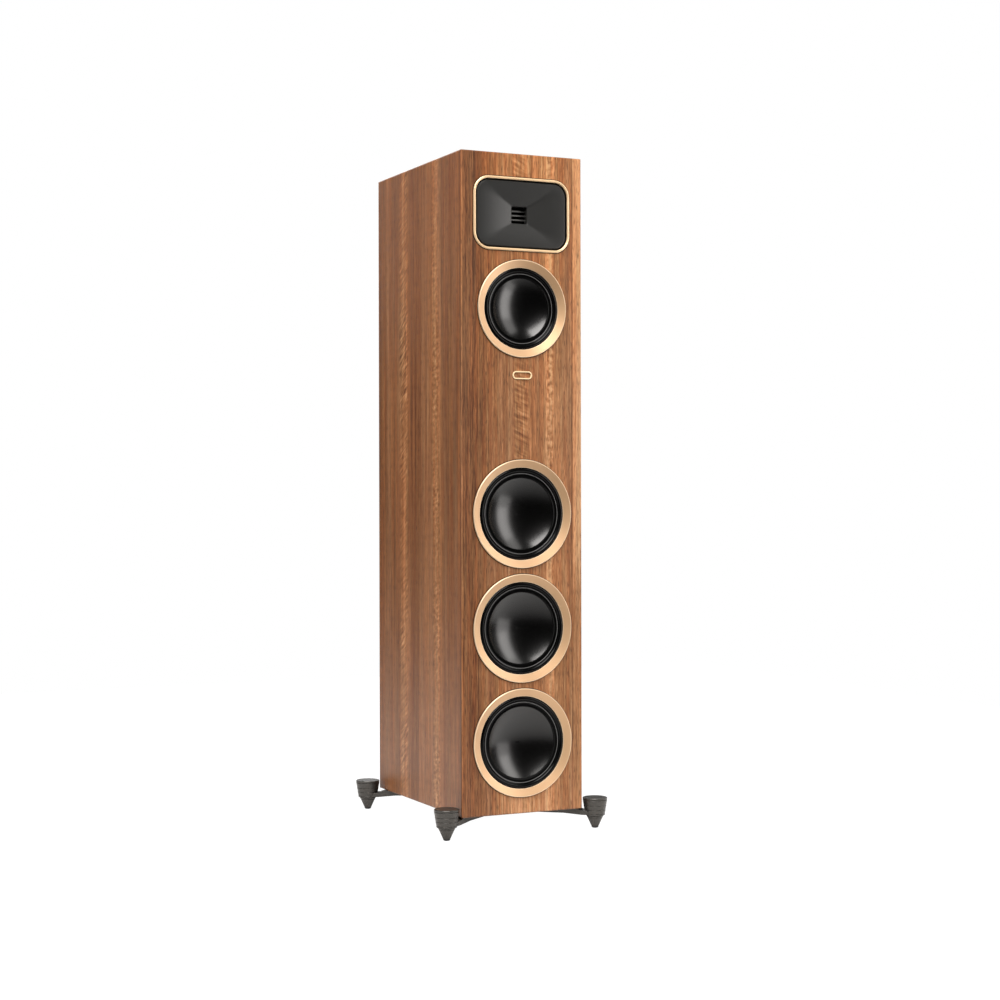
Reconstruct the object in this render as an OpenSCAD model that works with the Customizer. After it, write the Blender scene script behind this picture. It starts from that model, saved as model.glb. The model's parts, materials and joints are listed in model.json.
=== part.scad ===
// Three-way floorstanding loudspeaker: a mitred cabinet with three woofers, a midrange driver and
// a folded-diaphragm tweeter in a waveguide, on four outrigger feet with screw-down spikes.
// Millimetres. +Z is up, +X is to the right, the front faces -Y, and the origin is on the floor.

/* [Cabinet] */
// Width of the cabinet
cab_w = 220; // [216:1:240]
// Depth of the cabinet
cab_d = 356; // [350:1:400]
// Height of the cabinet without its feet
cab_h = 1080; // [1072:1:1200]
// Height of the cabinet's underside above the floor
floor_gap = 34; // [33:1:36]
// Thickness of the side, top, bottom and rear panels
panel_t = 18; // [16:1:19]
// Thickness of the front baffle
baffle_t = 25; // [22:1:28]
// Radius along the cabinet's outer edges
edge_r = 2.5; // [1:0.5:4]

/* [Driver layout] */
// Height of the lowest woofer's centre above the cabinet's underside
woofer_h = 116; // [112:1:118]
// Distance between the centres of neighbouring woofers
woofer_pitch = 187.5; // [186:0.5:190]
// Height of the midrange driver's centre above the cabinet's underside
mid_h = 827; // [810:1:830]
// Height of the waveguide's centre above the cabinet's underside
guide_h = 981; // [978:1:985]
// Height of the badge's centre above the cabinet's underside
badge_h = 718; // [680:1:730]

/* [Drivers] */
// Outer radius of a woofer's trim ring
woofer_ring_r = 89; // [88:0.5:90]
// Outer radius of the midrange driver's trim ring
mid_ring_r = 80; // [79:0.5:82]
// How far a trim ring stands proud of the baffle
ring_proud = 2.8; // [2.4:0.1:3.4]
// Width of the sloping band of a trim ring
ring_band = 13; // [12.5:0.5:13.5]

/* [Waveguide] */
// Outer width of the waveguide's trim frame
guide_w = 174.5; // [172:0.5:180]
// Outer height of the waveguide's trim frame
guide_tall = 120.2; // [118:0.1:124]
// Outer corner radius of the waveguide's trim frame
guide_corner = 28; // [24:1:30]
// Side of the square throat
throat = 28; // [24:1:30]
// Depth of the flared horn in front of the throat
horn_d = 9; // [8.5:0.5:12]

/* [Feet] */
// Distance from the centre plane to each foot, across the cabinet
foot_x = 135.5; // [134:0.5:142]
// Distance from the centre to the front feet
foot_front_y = 175; // [170:1:178]
// Distance from the centre to the rear feet
foot_rear_y = 170; // [166:1:174]
// Radius of the boss at the end of an outrigger
boss_r = 20.5; // [20:0.5:22]
// Slope of the outrigger arms against the cabinet's width, in degrees
arm_angle = 32; // [28:1:36]

/* [Terminals] */
// Distance between the two binding posts
post_pitch = 19.05; // [19:0.05:20]
// Radius of the plug bore in each binding post
plug_r = 2.05; // [2.02:0.01:2.08]
// Height of the terminal cup's centre above the cabinet's underside
cup_h = 132; // [128:1:140]

/* [Hidden] */
$fn = 96;
woofer_count = 3;
corners = ["fl", "fr", "rl", "rr"];
driver_parts = ["basket", "motor", "cone", "voice_coil", "suspension"];

walnut = [0.50, 0.32, 0.20];
champagne = [0.80, 0.62, 0.40];
gloss_black = [0.06, 0.06, 0.065];
rubber_black = [0.04, 0.04, 0.04];
satin_black = [0.14, 0.14, 0.14];
foot_grey = [0.27, 0.27, 0.27];
steel = [0.62, 0.63, 0.65];
ferrite = [0.20, 0.20, 0.21];
fibreboard = [0.62, 0.50, 0.36];
copper = [0.72, 0.42, 0.24];

// Small step that keeps cutting faces apart
eps = 0.1;

// Inside of the cabinet
in_w = cab_w - 2*panel_t;
in_front = -cab_d/2 + baffle_t;
in_rear = cab_d/2 - panel_t;
in_h = cab_h - 2*panel_t;

// Driver fitting, seen from the baffle's front face: a rebate holds the basket's flange
rebate_d = 9;
flange_t = 4;
seat_z = flange_t - rebate_d;
ring_skirt = 1;
roll_w = 10;
lip_w = 7.5;
paper_t = 1;
rubber_t = 0.8;
screw_r = 1.85;
screw_clear = 0.05;
screw_len = 18;

// Depth of the solder tags behind the baffle's face
tag_depth = 36;

// Sloping band of a trim ring: how far it drops inwards, and its raised lip
band_drop = 5.1;
ring_lip = 0.7;

// Shadow groove in the baffle, running under and just outside each ring and the waveguide's frame
groove_in = 1;
groove_out = 1.1;
groove_d = 1.6;

// One driver's own sizes: ring radius, coil radius, magnet radius, depth of the motor's front
// face, height of the magnet, depth of the dished cone, number of fixing screws
woofer = [woofer_ring_r, 19.4, 52, 51, 18, 17, 6];
midrange = [mid_ring_r, 15.9, 43, 45, 14, 14, 4];
function ring_r(d) = d[0];
function coil_r(d) = d[1];
function magnet_r(d) = d[2];
function motor_z(d) = -d[3];
function magnet_h(d) = d[4];
function dish_depth(d) = d[5];
function screws(d) = d[6];
function window_r(d) = ring_r(d) - ring_band;
function lip_r(d) = window_r(d) - roll_w;
function dish_r(d) = lip_r(d) - lip_w;
function hole_r(d) = ring_r(d) - 17;
function flange_r(d) = ring_r(d) - 5.5;
function frame_in_r(d) = lip_r(d) + 2.5;
function sphere_r(d) = (pow(dish_r(d), 2) + pow(dish_depth(d), 2))/(2*dish_depth(d));
function spider_z(d) = motor_z(d) + 20;
function screw_ring(d) = flange_r(d) - 3.2;
function woofer_z(i) = floor_gap + woofer_h + (i - 1)*woofer_pitch;

// Motor: top plate, ring magnet and a T-shaped yoke around the coil gap
top_plate_t = 6;
back_plate_t = 6;
gap_in = 0.9;
gap_out = 1.3;
winding_t = 0.8;
former_t = 0.4;

// Waveguide frame and what it frames
frame_w = 4.2;
guide_gap = 2.4;
guide_edge = frame_w + guide_gap;
guide_top_z = -0.5;
flange_back_z = -6;
plate_z = -16.8;
throat_corner = 1.8;
plate_t = 2;
plate_w = 78;
plate_tall = 66;
bar_count = 3;
bar_t = 2.5;
bar_pitch = 7.1;
corner_steps = 8;
horn_steps = 10;
guide_rebate_d = 6.5;
guide_rebate_gap = 2.5;
guide_ledge = 13;

// Badge: an open loop with round ends and two pins
badge_w = 35;
badge_tall = 13;
badge_stroke = 1.9;
badge_t = 1.5;
badge_pin_r = 1;
badge_pin_len = 6;

// Interior furniture
brace_h = [210, 397, 590];
shelf_h = 690;
brace_t = 18;
port_h = [306, 492];
port_r = 33;
port_wall = 3;
port_len = 140;
port_flare = 13.5;
port_lip = 1;
port_flange_t = 3;
port_flange_r = port_r + port_flare + 3.5;
port_gap = 0.3;

// Wire loom along the left wall, one wire to each driver
wire_x = -56;
wire_pitch = 3.4;
wire_r = 1.4;
wire_count = 5;
function trunk_x(i) = wire_x + (i - 2)*wire_pitch;

// Solder tag strips on the drivers
tag_w = 10;
tag_t = 8;
tag_len = 13;
tweeter_tag_len = 6;

// Terminals, seen from the rear face
cup_w = 112;
cup_tall = 84;
cup_hole_w = 92;
cup_hole_tall = 62;
cup_flange_t = 2.4;
cup_floor_z = -10;
cup_wall = 2.6;
stud_r = 3.15;
stud_end = 15;
plug_depth = 16;
collar_t = 3;
washer_z = cup_floor_z + collar_t + 0.2;
washer_t = 2;
knob_z = washer_z + washer_t + 0.2;
knob_end = 17.5;
knob_r = 7.2;

// Feet, seen from the floor up
pad_h = 3;
pad_r = 5.8;
cone_top = 16;
collar_top = 21;
boss_bottom = 21.5;
boss_top = 47;
cap_top = 50.8;
stem_r = 4.95;
bore_r = 5;
stem_top = 45;
thread_pitch = 1.5;
pin_r = 2;
pin_top = 7;
arm_w = 26;
arm_drop = 4.5;
arm_len = 128;
bolt_r = 3;
bolt_head_r = 5;
bolt_head_z = 24.5;
bolt_head_h = 4.5;
bolt_places = [(foot_x - in_w/2 + bolt_r + 3)/cos(arm_angle), 106];

// Crossover board on the bottom panel
board_z = floor_gap + panel_t + 6;
board_w = 150;
board_len = 140;
board_y = 64;
board_t = 1.6;
board_top = board_z + board_t;
blade_inset = 4;
blade_h = 7;

// Height and x of the solder tags that the wires run to, from the lowest woofer to the tweeter
wire_ends = [
    [woofer_z(1), -hole_r(woofer) + 4],
    [woofer_z(2), -hole_r(woofer) + 4],
    [woofer_z(3), -hole_r(woofer) + 4],
    [floor_gap + mid_h, -hole_r(midrange) + 4],
    [floor_gap + guide_h, -plate_w/2 - tweeter_tag_len/2]
];

// ---------------------------------------------------------------- outlines and placing

// Points along an arc, ends included
function arc(x, y, r, from, to, steps) =
    [for (i = [0:steps]) let (a = from + (to - from)*i/steps) [x + r*cos(a), y + r*sin(a)]];

// Outline of a rounded rectangle from its half sizes
function rounded_outline(hw, hh, r, n) = concat(
    arc(hw - r, hh - r, r, 0, 90, n),
    arc(r - hw, hh - r, r, 90, 180, n),
    arc(r - hw, r - hh, r, 180, 270, n),
    arc(hw - r, r - hh, r, 270, 360, n)
);

module rounded_rect(w, h, r) {
    square([w, h - 2*r], center = true);
    square([w - 2*r, h], center = true);
    for (x = [-1, 1], y = [-1, 1])
        translate([x*(w/2 - r), y*(h/2 - r)])
            circle(r);
}

// Closed ring of skin through rounded rectangles, each given as [half width, half height, radius, z]
module rectangular_loop(sections, n) {
    rings = [for (s = sections) [for (p = rounded_outline(s[0], s[1], s[2], n)) [p[0], p[1], s[3]]]];
    count = len(rings[0]);
    points = [for (ring = rings) each ring];
    faces = [for (i = [0:len(rings) - 1], k = [0:count - 1])
        let (j = (i + 1) % len(rings), m = (k + 1) % count)
            [i*count + k, i*count + m, j*count + m, j*count + k]];
    polyhedron(points, faces);
}

// Puts a part drawn with z = 0 on the baffle's face and +z outwards at height h
module on_front(h) {
    translate([0, -cab_d/2, h])
        rotate([90, 0, 0])
            children();
}

// The same on the rear face
module on_rear(h) {
    translate([0, cab_d/2, h])
        rotate([90, 0, 180])
            children();
}

module tube(r_out, r_in, z_low, z_high) {
    translate([0, 0, z_low])
        difference() {
            cylinder(r = r_out, h = z_high - z_low);
            translate([0, 0, -eps])
                cylinder(r = r_in, h = z_high - z_low + 2*eps);
        }
}

// ---------------------------------------------------------------- cabinet

// Prisms with a given outline, seen from above, from the right side and from the front
module from_above(outline) {
    linear_extrude(cab_h)
        polygon(outline);
}

module from_side(outline) {
    translate([-cab_w/2, 0, 0])
        rotate([90, 0, 90])
            linear_extrude(cab_w)
                polygon(outline);
}

module from_front(outline) {
    translate([0, cab_d/2, 0])
        rotate([90, 0, 0])
            linear_extrude(cab_d)
                polygon(outline);
}

// Outer shape of the closed cabinet, standing on z = 0, with its edges rounded
module cabinet_block() {
    intersection() {
        linear_extrude(cab_h)
            rounded_rect(cab_w, cab_d, edge_r);
        translate([0, cab_d/2, cab_h/2])
            rotate([90, 0, 0])
                linear_extrude(cab_d)
                    rounded_rect(cab_w, cab_h, edge_r);
        translate([-cab_w/2, 0, cab_h/2])
            rotate([90, 0, 90])
                linear_extrude(cab_w)
                    rounded_rect(cab_d, cab_h, edge_r);
    }
}

// Screw positions around a driver
module around_driver(d) {
    for (i = [0:screws(d) - 1])
        rotate(360*(i + 0.5)/screws(d))
            translate([screw_ring(d), 0, 0])
                children();
}

module driver_cutout(d) {
    translate([0, 0, -baffle_t - eps])
        cylinder(r = hole_r(d), h = baffle_t + 2*eps);
    translate([0, 0, -rebate_d])
        cylinder(r = ring_r(d) - 4.5, h = rebate_d + eps);
    translate([0, 0, -groove_d])
        difference() {
            cylinder(r = ring_r(d) + groove_out, h = groove_d + eps);
            translate([0, 0, -eps])
                cylinder(r = ring_r(d) - groove_in, h = groove_d + 3*eps);
        }
    around_driver(d)
        translate([0, 0, seat_z - screw_len - eps])
            cylinder(r = screw_r + screw_clear, h = screw_len);
}

// Outline of the waveguide's frame, grown by a margin
module guide_outline(margin) {
    rounded_rect(guide_w + 2*margin, guide_tall + 2*margin, guide_corner + margin);
}

module waveguide_cutout() {
    translate([0, 0, -guide_rebate_d])
        linear_extrude(guide_rebate_d + eps)
            guide_outline(-guide_rebate_gap);
    translate([0, 0, -groove_d])
        linear_extrude(groove_d + eps)
            difference() {
                guide_outline(groove_out);
                guide_outline(-groove_in);
            }
    translate([0, 0, -baffle_t - eps])
        linear_extrude(baffle_t + eps)
            rounded_rect(guide_w - 2*guide_ledge, guide_tall - 2*guide_ledge, guide_corner - 12);
}

module badge_pins(extra) {
    for (x = [-1, 1])
        translate([x*(badge_w - badge_tall)/2, (badge_tall - badge_stroke)/2, -badge_pin_len - extra])
            cylinder(r = badge_pin_r + extra, h = badge_pin_len + 2*extra);
}

module front_baffle() {
    front = -cab_d/2;
    color(walnut)
        difference() {
            translate([0, 0, floor_gap])
                intersection() {
                    cabinet_block();
                    from_above([
                        [-cab_w/2, front], [cab_w/2, front],
                        [in_w/2, in_front], [-in_w/2, in_front]
                    ]);
                    from_side([
                        [front, 0], [in_front, panel_t],
                        [in_front, cab_h - panel_t], [front, cab_h]
                    ]);
                }
            for (i = [1:woofer_count])
                on_front(woofer_z(i))
                    driver_cutout(woofer);
            on_front(floor_gap + mid_h)
                driver_cutout(midrange);
            on_front(floor_gap + guide_h)
                waveguide_cutout();
            on_front(floor_gap + badge_h)
                badge_pins(0.05);
        }
}

// Side panel on the left; the right one is its mirror image
module side_panel() {
    left = -cab_w/2;
    front = -cab_d/2;
    rear = cab_d/2;
    color(walnut)
        translate([0, 0, floor_gap])
            intersection() {
                cabinet_block();
                from_above([[left, front], [-in_w/2, in_front], [-in_w/2, rear], [left, rear]]);
                from_front([
                    [left, 0], [-in_w/2, panel_t],
                    [-in_w/2, cab_h - panel_t], [left, cab_h]
                ]);
            }
}

module left_side_panel() {
    side_panel();
}

module right_side_panel() {
    mirror([1, 0, 0])
        side_panel();
}

module top_panel() {
    front = -cab_d/2;
    rear = cab_d/2;
    color(walnut)
        translate([0, 0, floor_gap])
            intersection() {
                cabinet_block();
                from_side([
                    [front, cab_h], [in_front, in_h + panel_t],
                    [rear, in_h + panel_t], [rear, cab_h]
                ]);
                from_front([
                    [-cab_w/2, cab_h], [-in_w/2, in_h + panel_t],
                    [in_w/2, in_h + panel_t], [cab_w/2, cab_h]
                ]);
            }
}

module bottom_panel() {
    front = -cab_d/2;
    rear = cab_d/2;
    color(walnut)
        difference() {
            translate([0, 0, floor_gap])
                intersection() {
                    cabinet_block();
                    from_side([[front, 0], [rear, 0], [rear, panel_t], [in_front, panel_t]]);
                    from_front([
                        [-cab_w/2, 0], [cab_w/2, 0],
                        [in_w/2, panel_t], [-in_w/2, panel_t]
                    ]);
                }
            at_bolts()
                translate([0, 0, floor_gap - eps])
                    cylinder(r = bolt_r + screw_clear, h = panel_t + 2*eps);
        }
}

module rear_panel() {
    color(walnut)
        difference() {
            translate([-in_w/2, in_rear, floor_gap + panel_t])
                cube([in_w, panel_t, in_h]);
            for (h = port_h)
                on_rear(floor_gap + h) {
                    translate([0, 0, -panel_t - eps])
                        cylinder(r = port_r + port_wall + port_gap, h = panel_t + 2*eps);
                    translate([0, 0, -port_flange_t])
                        cylinder(r = port_flange_r + port_gap, h = port_flange_t + eps);
                }
            on_rear(floor_gap + cup_h) {
                translate([0, 0, -panel_t - eps])
                    linear_extrude(panel_t + 2*eps)
                        rounded_rect(cup_hole_w, cup_hole_tall, 6);
                at_cup_screws()
                    translate([0, 0, -12])
                        cylinder(r = screw_r + screw_clear, h = 12 + eps);
            }
        }
}

// Horizontal board across the inside, with a front edge on the baffle and a rear edge on the back
module inner_board(h) {
    translate([-in_w/2, in_front, floor_gap + h - brace_t/2])
        cube([in_w, in_rear - in_front, brace_t]);
}

module chamber_shelf() {
    color(fibreboard)
        difference() {
            inner_board(shelf_h);
            translate([wire_x, 0, floor_gap + shelf_h])
                cube([(wire_count + 1)*wire_pitch, 8, 2*brace_t], center = true);
        }
}

module window_braces() {
    rim = 30;
    color(fibreboard)
        for (h = brace_h)
            difference() {
                inner_board(h);
                translate([0, (in_front + in_rear)/2, floor_gap + h - brace_t])
                    linear_extrude(2*brace_t)
                        rounded_rect(in_w - 1.2*rim, in_rear - in_front - 2*rim, 18);
            }
}

module damping_wadding() {
    wad_t = 34;
    wad_w = in_w - 8;
    wad_tall = 320;
    color([0.86, 0.85, 0.80])
        translate([0, in_rear - wad_t - 0.5, floor_gap + shelf_h + 20 + wad_tall/2])
            rotate([-90, 0, 0])
                linear_extrude(wad_t)
                    rounded_rect(wad_w, wad_tall, 14);
}

// Flared tube: a wide mouth on the rear face and a smaller flare inside the cabinet
module reflex_ports() {
    mouth_r = port_r + port_flare;
    inner_flare = 10;
    profile = concat(
        [[port_flange_r, -port_flange_t], [port_flange_r, port_lip]],
        arc(mouth_r, port_lip - port_flare, port_flare, 90, 180, 9),
        arc(port_r + inner_flare, inner_flare - port_len, inner_flare, 180, 270, 6),
        arc(port_r + inner_flare, inner_flare - port_len, inner_flare - port_wall, 270, 180, 6),
        [[port_r + port_wall, -port_flange_t]]
    );
    color(satin_black)
        for (h = port_h)
            on_rear(floor_gap + h)
                rotate_extrude()
                    polygon(profile);
}

module stadium(w, h) {
    square([w - h, h], center = true);
    for (x = [-1, 1])
        translate([x*(w - h)/2, 0])
            circle(h/2);
}

// Plain open badge with round ends, held by two pins
module badge() {
    color(champagne)
        on_front(floor_gap + badge_h) {
            linear_extrude(badge_t)
                difference() {
                    stadium(badge_w, badge_tall);
                    stadium(badge_w - 2*badge_stroke, badge_tall - 2*badge_stroke);
                }
            badge_pins(0);
        }
}

// ---------------------------------------------------------------- tweeter

// Shallow flared horn: rounded at the mouth, square and steep at the throat
module waveguide() {
    mouth_w = guide_w/2 - guide_edge;
    mouth_tall = guide_tall/2 - guide_edge;
    mouth_corner = guide_corner - guide_edge;
    half = throat/2;
    rim = 2.5;
    horn = [for (i = [0:horn_steps])
        let (s = 1 - i/horn_steps)
            [half + (mouth_w - rim - half)*s, half + (mouth_tall - rim - half)*s,
             throat_corner + (mouth_corner - rim - throat_corner)*s*s, guide_top_z - horn_d*pow(1 - s, 1.7)]];
    sections = concat(
        [[mouth_w - 12, mouth_tall - 12, mouth_corner - 8, flange_back_z]],
        [[mouth_w, mouth_tall, mouth_corner, flange_back_z]],
        [[mouth_w, mouth_tall, mouth_corner, guide_top_z - 0.8]],
        [[mouth_w - 0.8, mouth_tall - 0.8, mouth_corner - 0.8, guide_top_z]],
        horn,
        [[half, half, throat_corner, plate_z]],
        [[half + 24, half + 18, 6, plate_z]],
        [[half + 30, half + 20, 6, flange_back_z - 2]]
    );
    color(satin_black)
        on_front(floor_gap + guide_h)
            rectangular_loop(sections, corner_steps);
}

// Rounded frame around the waveguide with a skirt down into the rebate
module waveguide_trim() {
    round_r = frame_w/2;
    crown = arc(0, 0, round_r, 0, 180, 8);
    profile = concat(
        [[guide_w/2, 0.4]],
        [for (p = crown) [guide_w/2 - round_r + p[0], 0.6 + p[1]*0.85]],
        [[guide_w/2 - frame_w, -4.5], [guide_w/2 - 2.8, -4.5], [guide_w/2 - 2.8, 0]],
        [[guide_w/2, 0]]
    );
    inset = guide_w/2 - guide_tall/2;
    sections = [for (p = profile) [p[0], p[0] - inset, p[0] - guide_w/2 + guide_corner, p[1]]];
    color(champagne)
        on_front(floor_gap + guide_h)
            rectangular_loop(sections, corner_steps);
}

module tweeter_front_plate() {
    middle = (bar_count - 1)/2;
    color(steel)
        on_front(floor_gap + guide_h)
            difference() {
                translate([-plate_w/2, -plate_tall/2, plate_z - plate_t])
                    cube([plate_w, plate_tall, plate_t]);
                difference() {
                    translate([-throat/2, -throat/2, plate_z - plate_t - eps])
                        cube([throat, throat, plate_t + 2*eps]);
                    for (i = [0:bar_count - 1])
                        translate([-throat/2 - eps, (i - middle)*bar_pitch - bar_t/2, plate_z - 2*plate_t])
                            cube([throat + 2*eps, bar_t, 3*plate_t]);
                }
            }
}

// Film folded into fine pleats, in a frame of its own
module tweeter_diaphragm() {
    pleats = 12;
    pleat_d = 3.6;
    film_t = 0.35;
    back = plate_z - plate_t - 1.2;
    step = (throat + 2)/pleats;
    low = -throat/2 - 1;
    front_side = [for (i = [0:pleats*2]) [low + i*step/2, back - (i % 2)*pleat_d]];
    rear_side = [for (i = [pleats*2:-1:0]) [low + i*step/2, back - film_t*2 - (i % 2)*pleat_d]];
    color([0.75, 0.72, 0.62])
        on_front(floor_gap + guide_h)
            rotate([90, 0, 90])
                translate([0, 0, low])
                    linear_extrude(throat + 2)
                        polygon(concat(front_side, rear_side));
}

// Magnet block with a pocket behind the film
module tweeter_magnet() {
    block_d = 34;
    front = plate_z - plate_t - 0.2;
    pocket = throat + 6;
    pocket_d = 18;
    color(ferrite)
        on_front(floor_gap + guide_h)
            difference() {
                translate([-plate_w/2, -plate_tall/2, front - block_d])
                    cube([plate_w, plate_tall, block_d]);
                translate([-pocket/2, -pocket/2, front - pocket_d])
                    cube([pocket, pocket, pocket_d + eps]);
            }
    // Solder tag strip on its left side
    color(champagne)
        on_front(floor_gap + guide_h)
            translate([-plate_w/2 - tweeter_tag_len, -tag_w/2, -tag_depth])
                cube([tweeter_tag_len, tag_w, tag_t]);
}

// ---------------------------------------------------------------- midrange driver and woofers

// Funnel-shaped band with a thin raised lip and a skirt inside the rebate
module trim_ring(d) {
    r = ring_r(d);
    lip = ring_lip;
    color(champagne)
        rotate_extrude()
            polygon([
                [r, 0], [r, ring_proud - lip], [r - lip, ring_proud], [r - 2*lip, ring_proud],
                [window_r(d), ring_proud - band_drop], [window_r(d), seat_z + ring_skirt],
                [r - 5, seat_z + ring_skirt], [r - 5, 0]
            ]);
}

module midrange_trim_ring() {
    on_front(floor_gap + mid_h)
        trim_ring(midrange);
}

module woofer_trim_rings() {
    for (i = [1:woofer_count])
        on_front(woofer_z(i))
            trim_ring(woofer);
}

// Cast frame: flange, six legs, a shelf for the spider and a seat for the motor
module basket(d) {
    legs = 6;
    leg_w = 17;
    seat = motor_z(d);
    seat_r = magnet_r(d) - 2;
    floor_t = 3;
    inner_foot = seat_r - 5;
    shell_out = [[hole_r(d) - 1, -rebate_d], [hole_r(d) - 2, -20], [seat_r, seat]];
    shell_in = [[inner_foot, seat], [hole_r(d) - 9, -20], [frame_in_r(d), -13], [frame_in_r(d), -rebate_d]];
    difference() {
        union() {
            tube(flange_r(d), window_r(d) - 1, -rebate_d, seat_z);
            tube(window_r(d) - 0.5, frame_in_r(d), -rebate_d, -rebate_d + 1.5);
            intersection() {
                rotate_extrude()
                    polygon(concat(shell_out, shell_in));
                for (i = [0:legs/2 - 1])
                    rotate(i*360/legs)
                        translate([-hole_r(d), -leg_w/2, seat])
                            cube([2*hole_r(d), leg_w, -seat]);
            }
            tube(seat_r, coil_r(d) + 18, seat, seat + floor_t);
            tube(inner_foot + 8, coil_r(d) + 24, spider_z(d) - 3, spider_z(d));
        }
        around_driver(d) {
            translate([0, 0, -rebate_d - eps])
                cylinder(r = screw_r + 0.3, h = flange_t + 2*eps);
            translate([0, 0, seat_z - 2])
                cylinder(r = 3.1, h = 2 + eps);
        }
    }
    // Solder tag strip on the left leg
    translate([-hole_r(d) + 1, -tag_w/2, -tag_depth])
        cube([tag_len, tag_w, tag_t]);
}

module motor(d) {
    front = motor_z(d);
    glue = 0.05;
    gap_r = coil_r(d) + gap_out;
    pole_r = coil_r(d) - gap_in;
    magnet_front = front - top_plate_t;
    back_front = magnet_front - magnet_h(d);
    color(steel)
        tube(magnet_r(d) - 2, gap_r, magnet_front, front);
    color(ferrite)
        tube(magnet_r(d), gap_r + 6, back_front + glue, magnet_front - glue);
    color(steel)
        rotate_extrude()
            polygon([
                [coil_r(d)/3, front + 1], [pole_r, front + 1], [pole_r, back_front],
                [magnet_r(d) - 4, back_front], [magnet_r(d) - 4, back_front - back_plate_t + 2],
                [magnet_r(d) - 6, back_front - back_plate_t], [coil_r(d)/3, back_front - back_plate_t]
            ]);
}

// One-piece dished cone with a flat rim for the roll and a collar for the coil former
module dished_cone(d) {
    big = sphere_r(d);
    centre_z = seat_z + big - dish_depth(d);
    collar_front = centre_z - sqrt(pow(big + paper_t, 2) - pow(coil_r(d) + 0.05, 2));
    rotate_extrude() {
        intersection() {
            difference() {
                translate([0, centre_z])
                    circle(big + paper_t, $fn = 360);
                translate([0, centre_z])
                    circle(big, $fn = 360);
            }
            translate([0, seat_z - dish_depth(d) - 5])
                square([dish_r(d) + 0.4, dish_depth(d) + 5]);
        }
        translate([dish_r(d), seat_z - paper_t])
            square([lip_r(d) - dish_r(d), paper_t]);
        translate([coil_r(d) + 0.05, collar_front - 3])
            square([1.2, 3.4]);
    }
}

module voice_coil(d) {
    big = sphere_r(d) + paper_t;
    top = seat_z - dish_depth(d) + sphere_r(d) - sqrt(pow(big, 2) - pow(coil_r(d) - former_t, 2)) - 0.05;
    winding_low = motor_z(d) - top_plate_t/2 - 7.5;
    color([0.85, 0.80, 0.66])
        tube(coil_r(d), coil_r(d) - former_t, winding_low, top);
    color(copper)
        tube(coil_r(d) + winding_t, coil_r(d), winding_low, winding_low + 15);
}

// Half-roll edge at the front and a rippled disc at the rear, both round the cone
module suspension(d) {
    roll_r = roll_w/2 - 0.5;
    middle = window_r(d) - roll_w/2;
    ripples = 4;
    glue = 0.1;
    inner = coil_r(d) + glue;
    outer = magnet_r(d) - 1;
    step = (outer - inner - 6)/(2*ripples);
    disc = concat(
        [[inner, 0]],
        [for (i = [0:2*ripples]) [inner + 3 + i*step, (i % 2)*1.6]],
        [[outer, 0]]
    );
    color(rubber_black)
        rotate_extrude() {
            translate([middle, seat_z + glue])
                intersection() {
                    difference() {
                        circle(roll_r);
                        circle(roll_r - rubber_t);
                    }
                    translate([-roll_w, 0])
                        square([2*roll_w, roll_w]);
                }
            translate([middle + roll_r - rubber_t, seat_z + glue])
                square([6, rubber_t]);
            translate([dish_r(d) + 1, seat_z + glue])
                square([lip_w + 0.2, rubber_t]);
        }
    color([0.72, 0.55, 0.25])
        translate([0, 0, spider_z(d)])
            rotate_extrude()
                polygon(concat(disc, [for (i = [len(disc) - 1:-1:0]) disc[i] + [0, 0.6]]));
}

module driver_part(part, d) {
    if (part == "basket")
        color(satin_black) basket(d);
    if (part == "motor")
        motor(d);
    if (part == "cone")
        color(gloss_black) dished_cone(d);
    if (part == "voice_coil")
        voice_coil(d);
    if (part == "suspension")
        suspension(d);
}

module midrange_part(part) {
    on_front(floor_gap + mid_h)
        driver_part(part, midrange);
}

module woofer_part(i, part) {
    on_front(woofer_z(i))
        driver_part(part, woofer);
}

// ---------------------------------------------------------------- terminals

module at_cup_screws() {
    for (x = [-1, 1], y = [-1, 1])
        translate([x*(cup_w/2 - 5), y*(cup_tall/2 - 5), 0])
            children();
}

module at_post(side) {
    on_rear(floor_gap + cup_h)
        translate([side*post_pitch/2, 0, 0])
            children();
}

// Flanged tray let into the rear panel
module terminal_cup() {
    color(satin_black)
        on_rear(floor_gap + cup_h)
            difference() {
                union() {
                    linear_extrude(cup_flange_t)
                        rounded_rect(cup_w, cup_tall, 8);
                    translate([0, 0, cup_floor_z - cup_wall])
                        linear_extrude(cup_wall - cup_floor_z + eps)
                            rounded_rect(cup_hole_w - 0.4, cup_hole_tall - 0.4, 5.8);
                }
                translate([0, 0, cup_floor_z])
                    linear_extrude(cup_flange_t - cup_floor_z + eps)
                        rounded_rect(cup_hole_w - 2*cup_wall, cup_hole_tall - 2*cup_wall, 4);
                for (side = [-1, 1])
                    translate([side*post_pitch/2, 0, cup_floor_z - cup_wall - eps])
                        cylinder(r = stud_r + 0.1, h = cup_wall + 2*eps);
                at_cup_screws() {
                    translate([0, 0, -eps])
                        cylinder(r = screw_r + 0.3, h = cup_flange_t + 2*eps);
                    translate([0, 0, cup_flange_t - 1.5])
                        cylinder(r = 3.2, h = 1.5 + eps);
                }
            }
}

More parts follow.
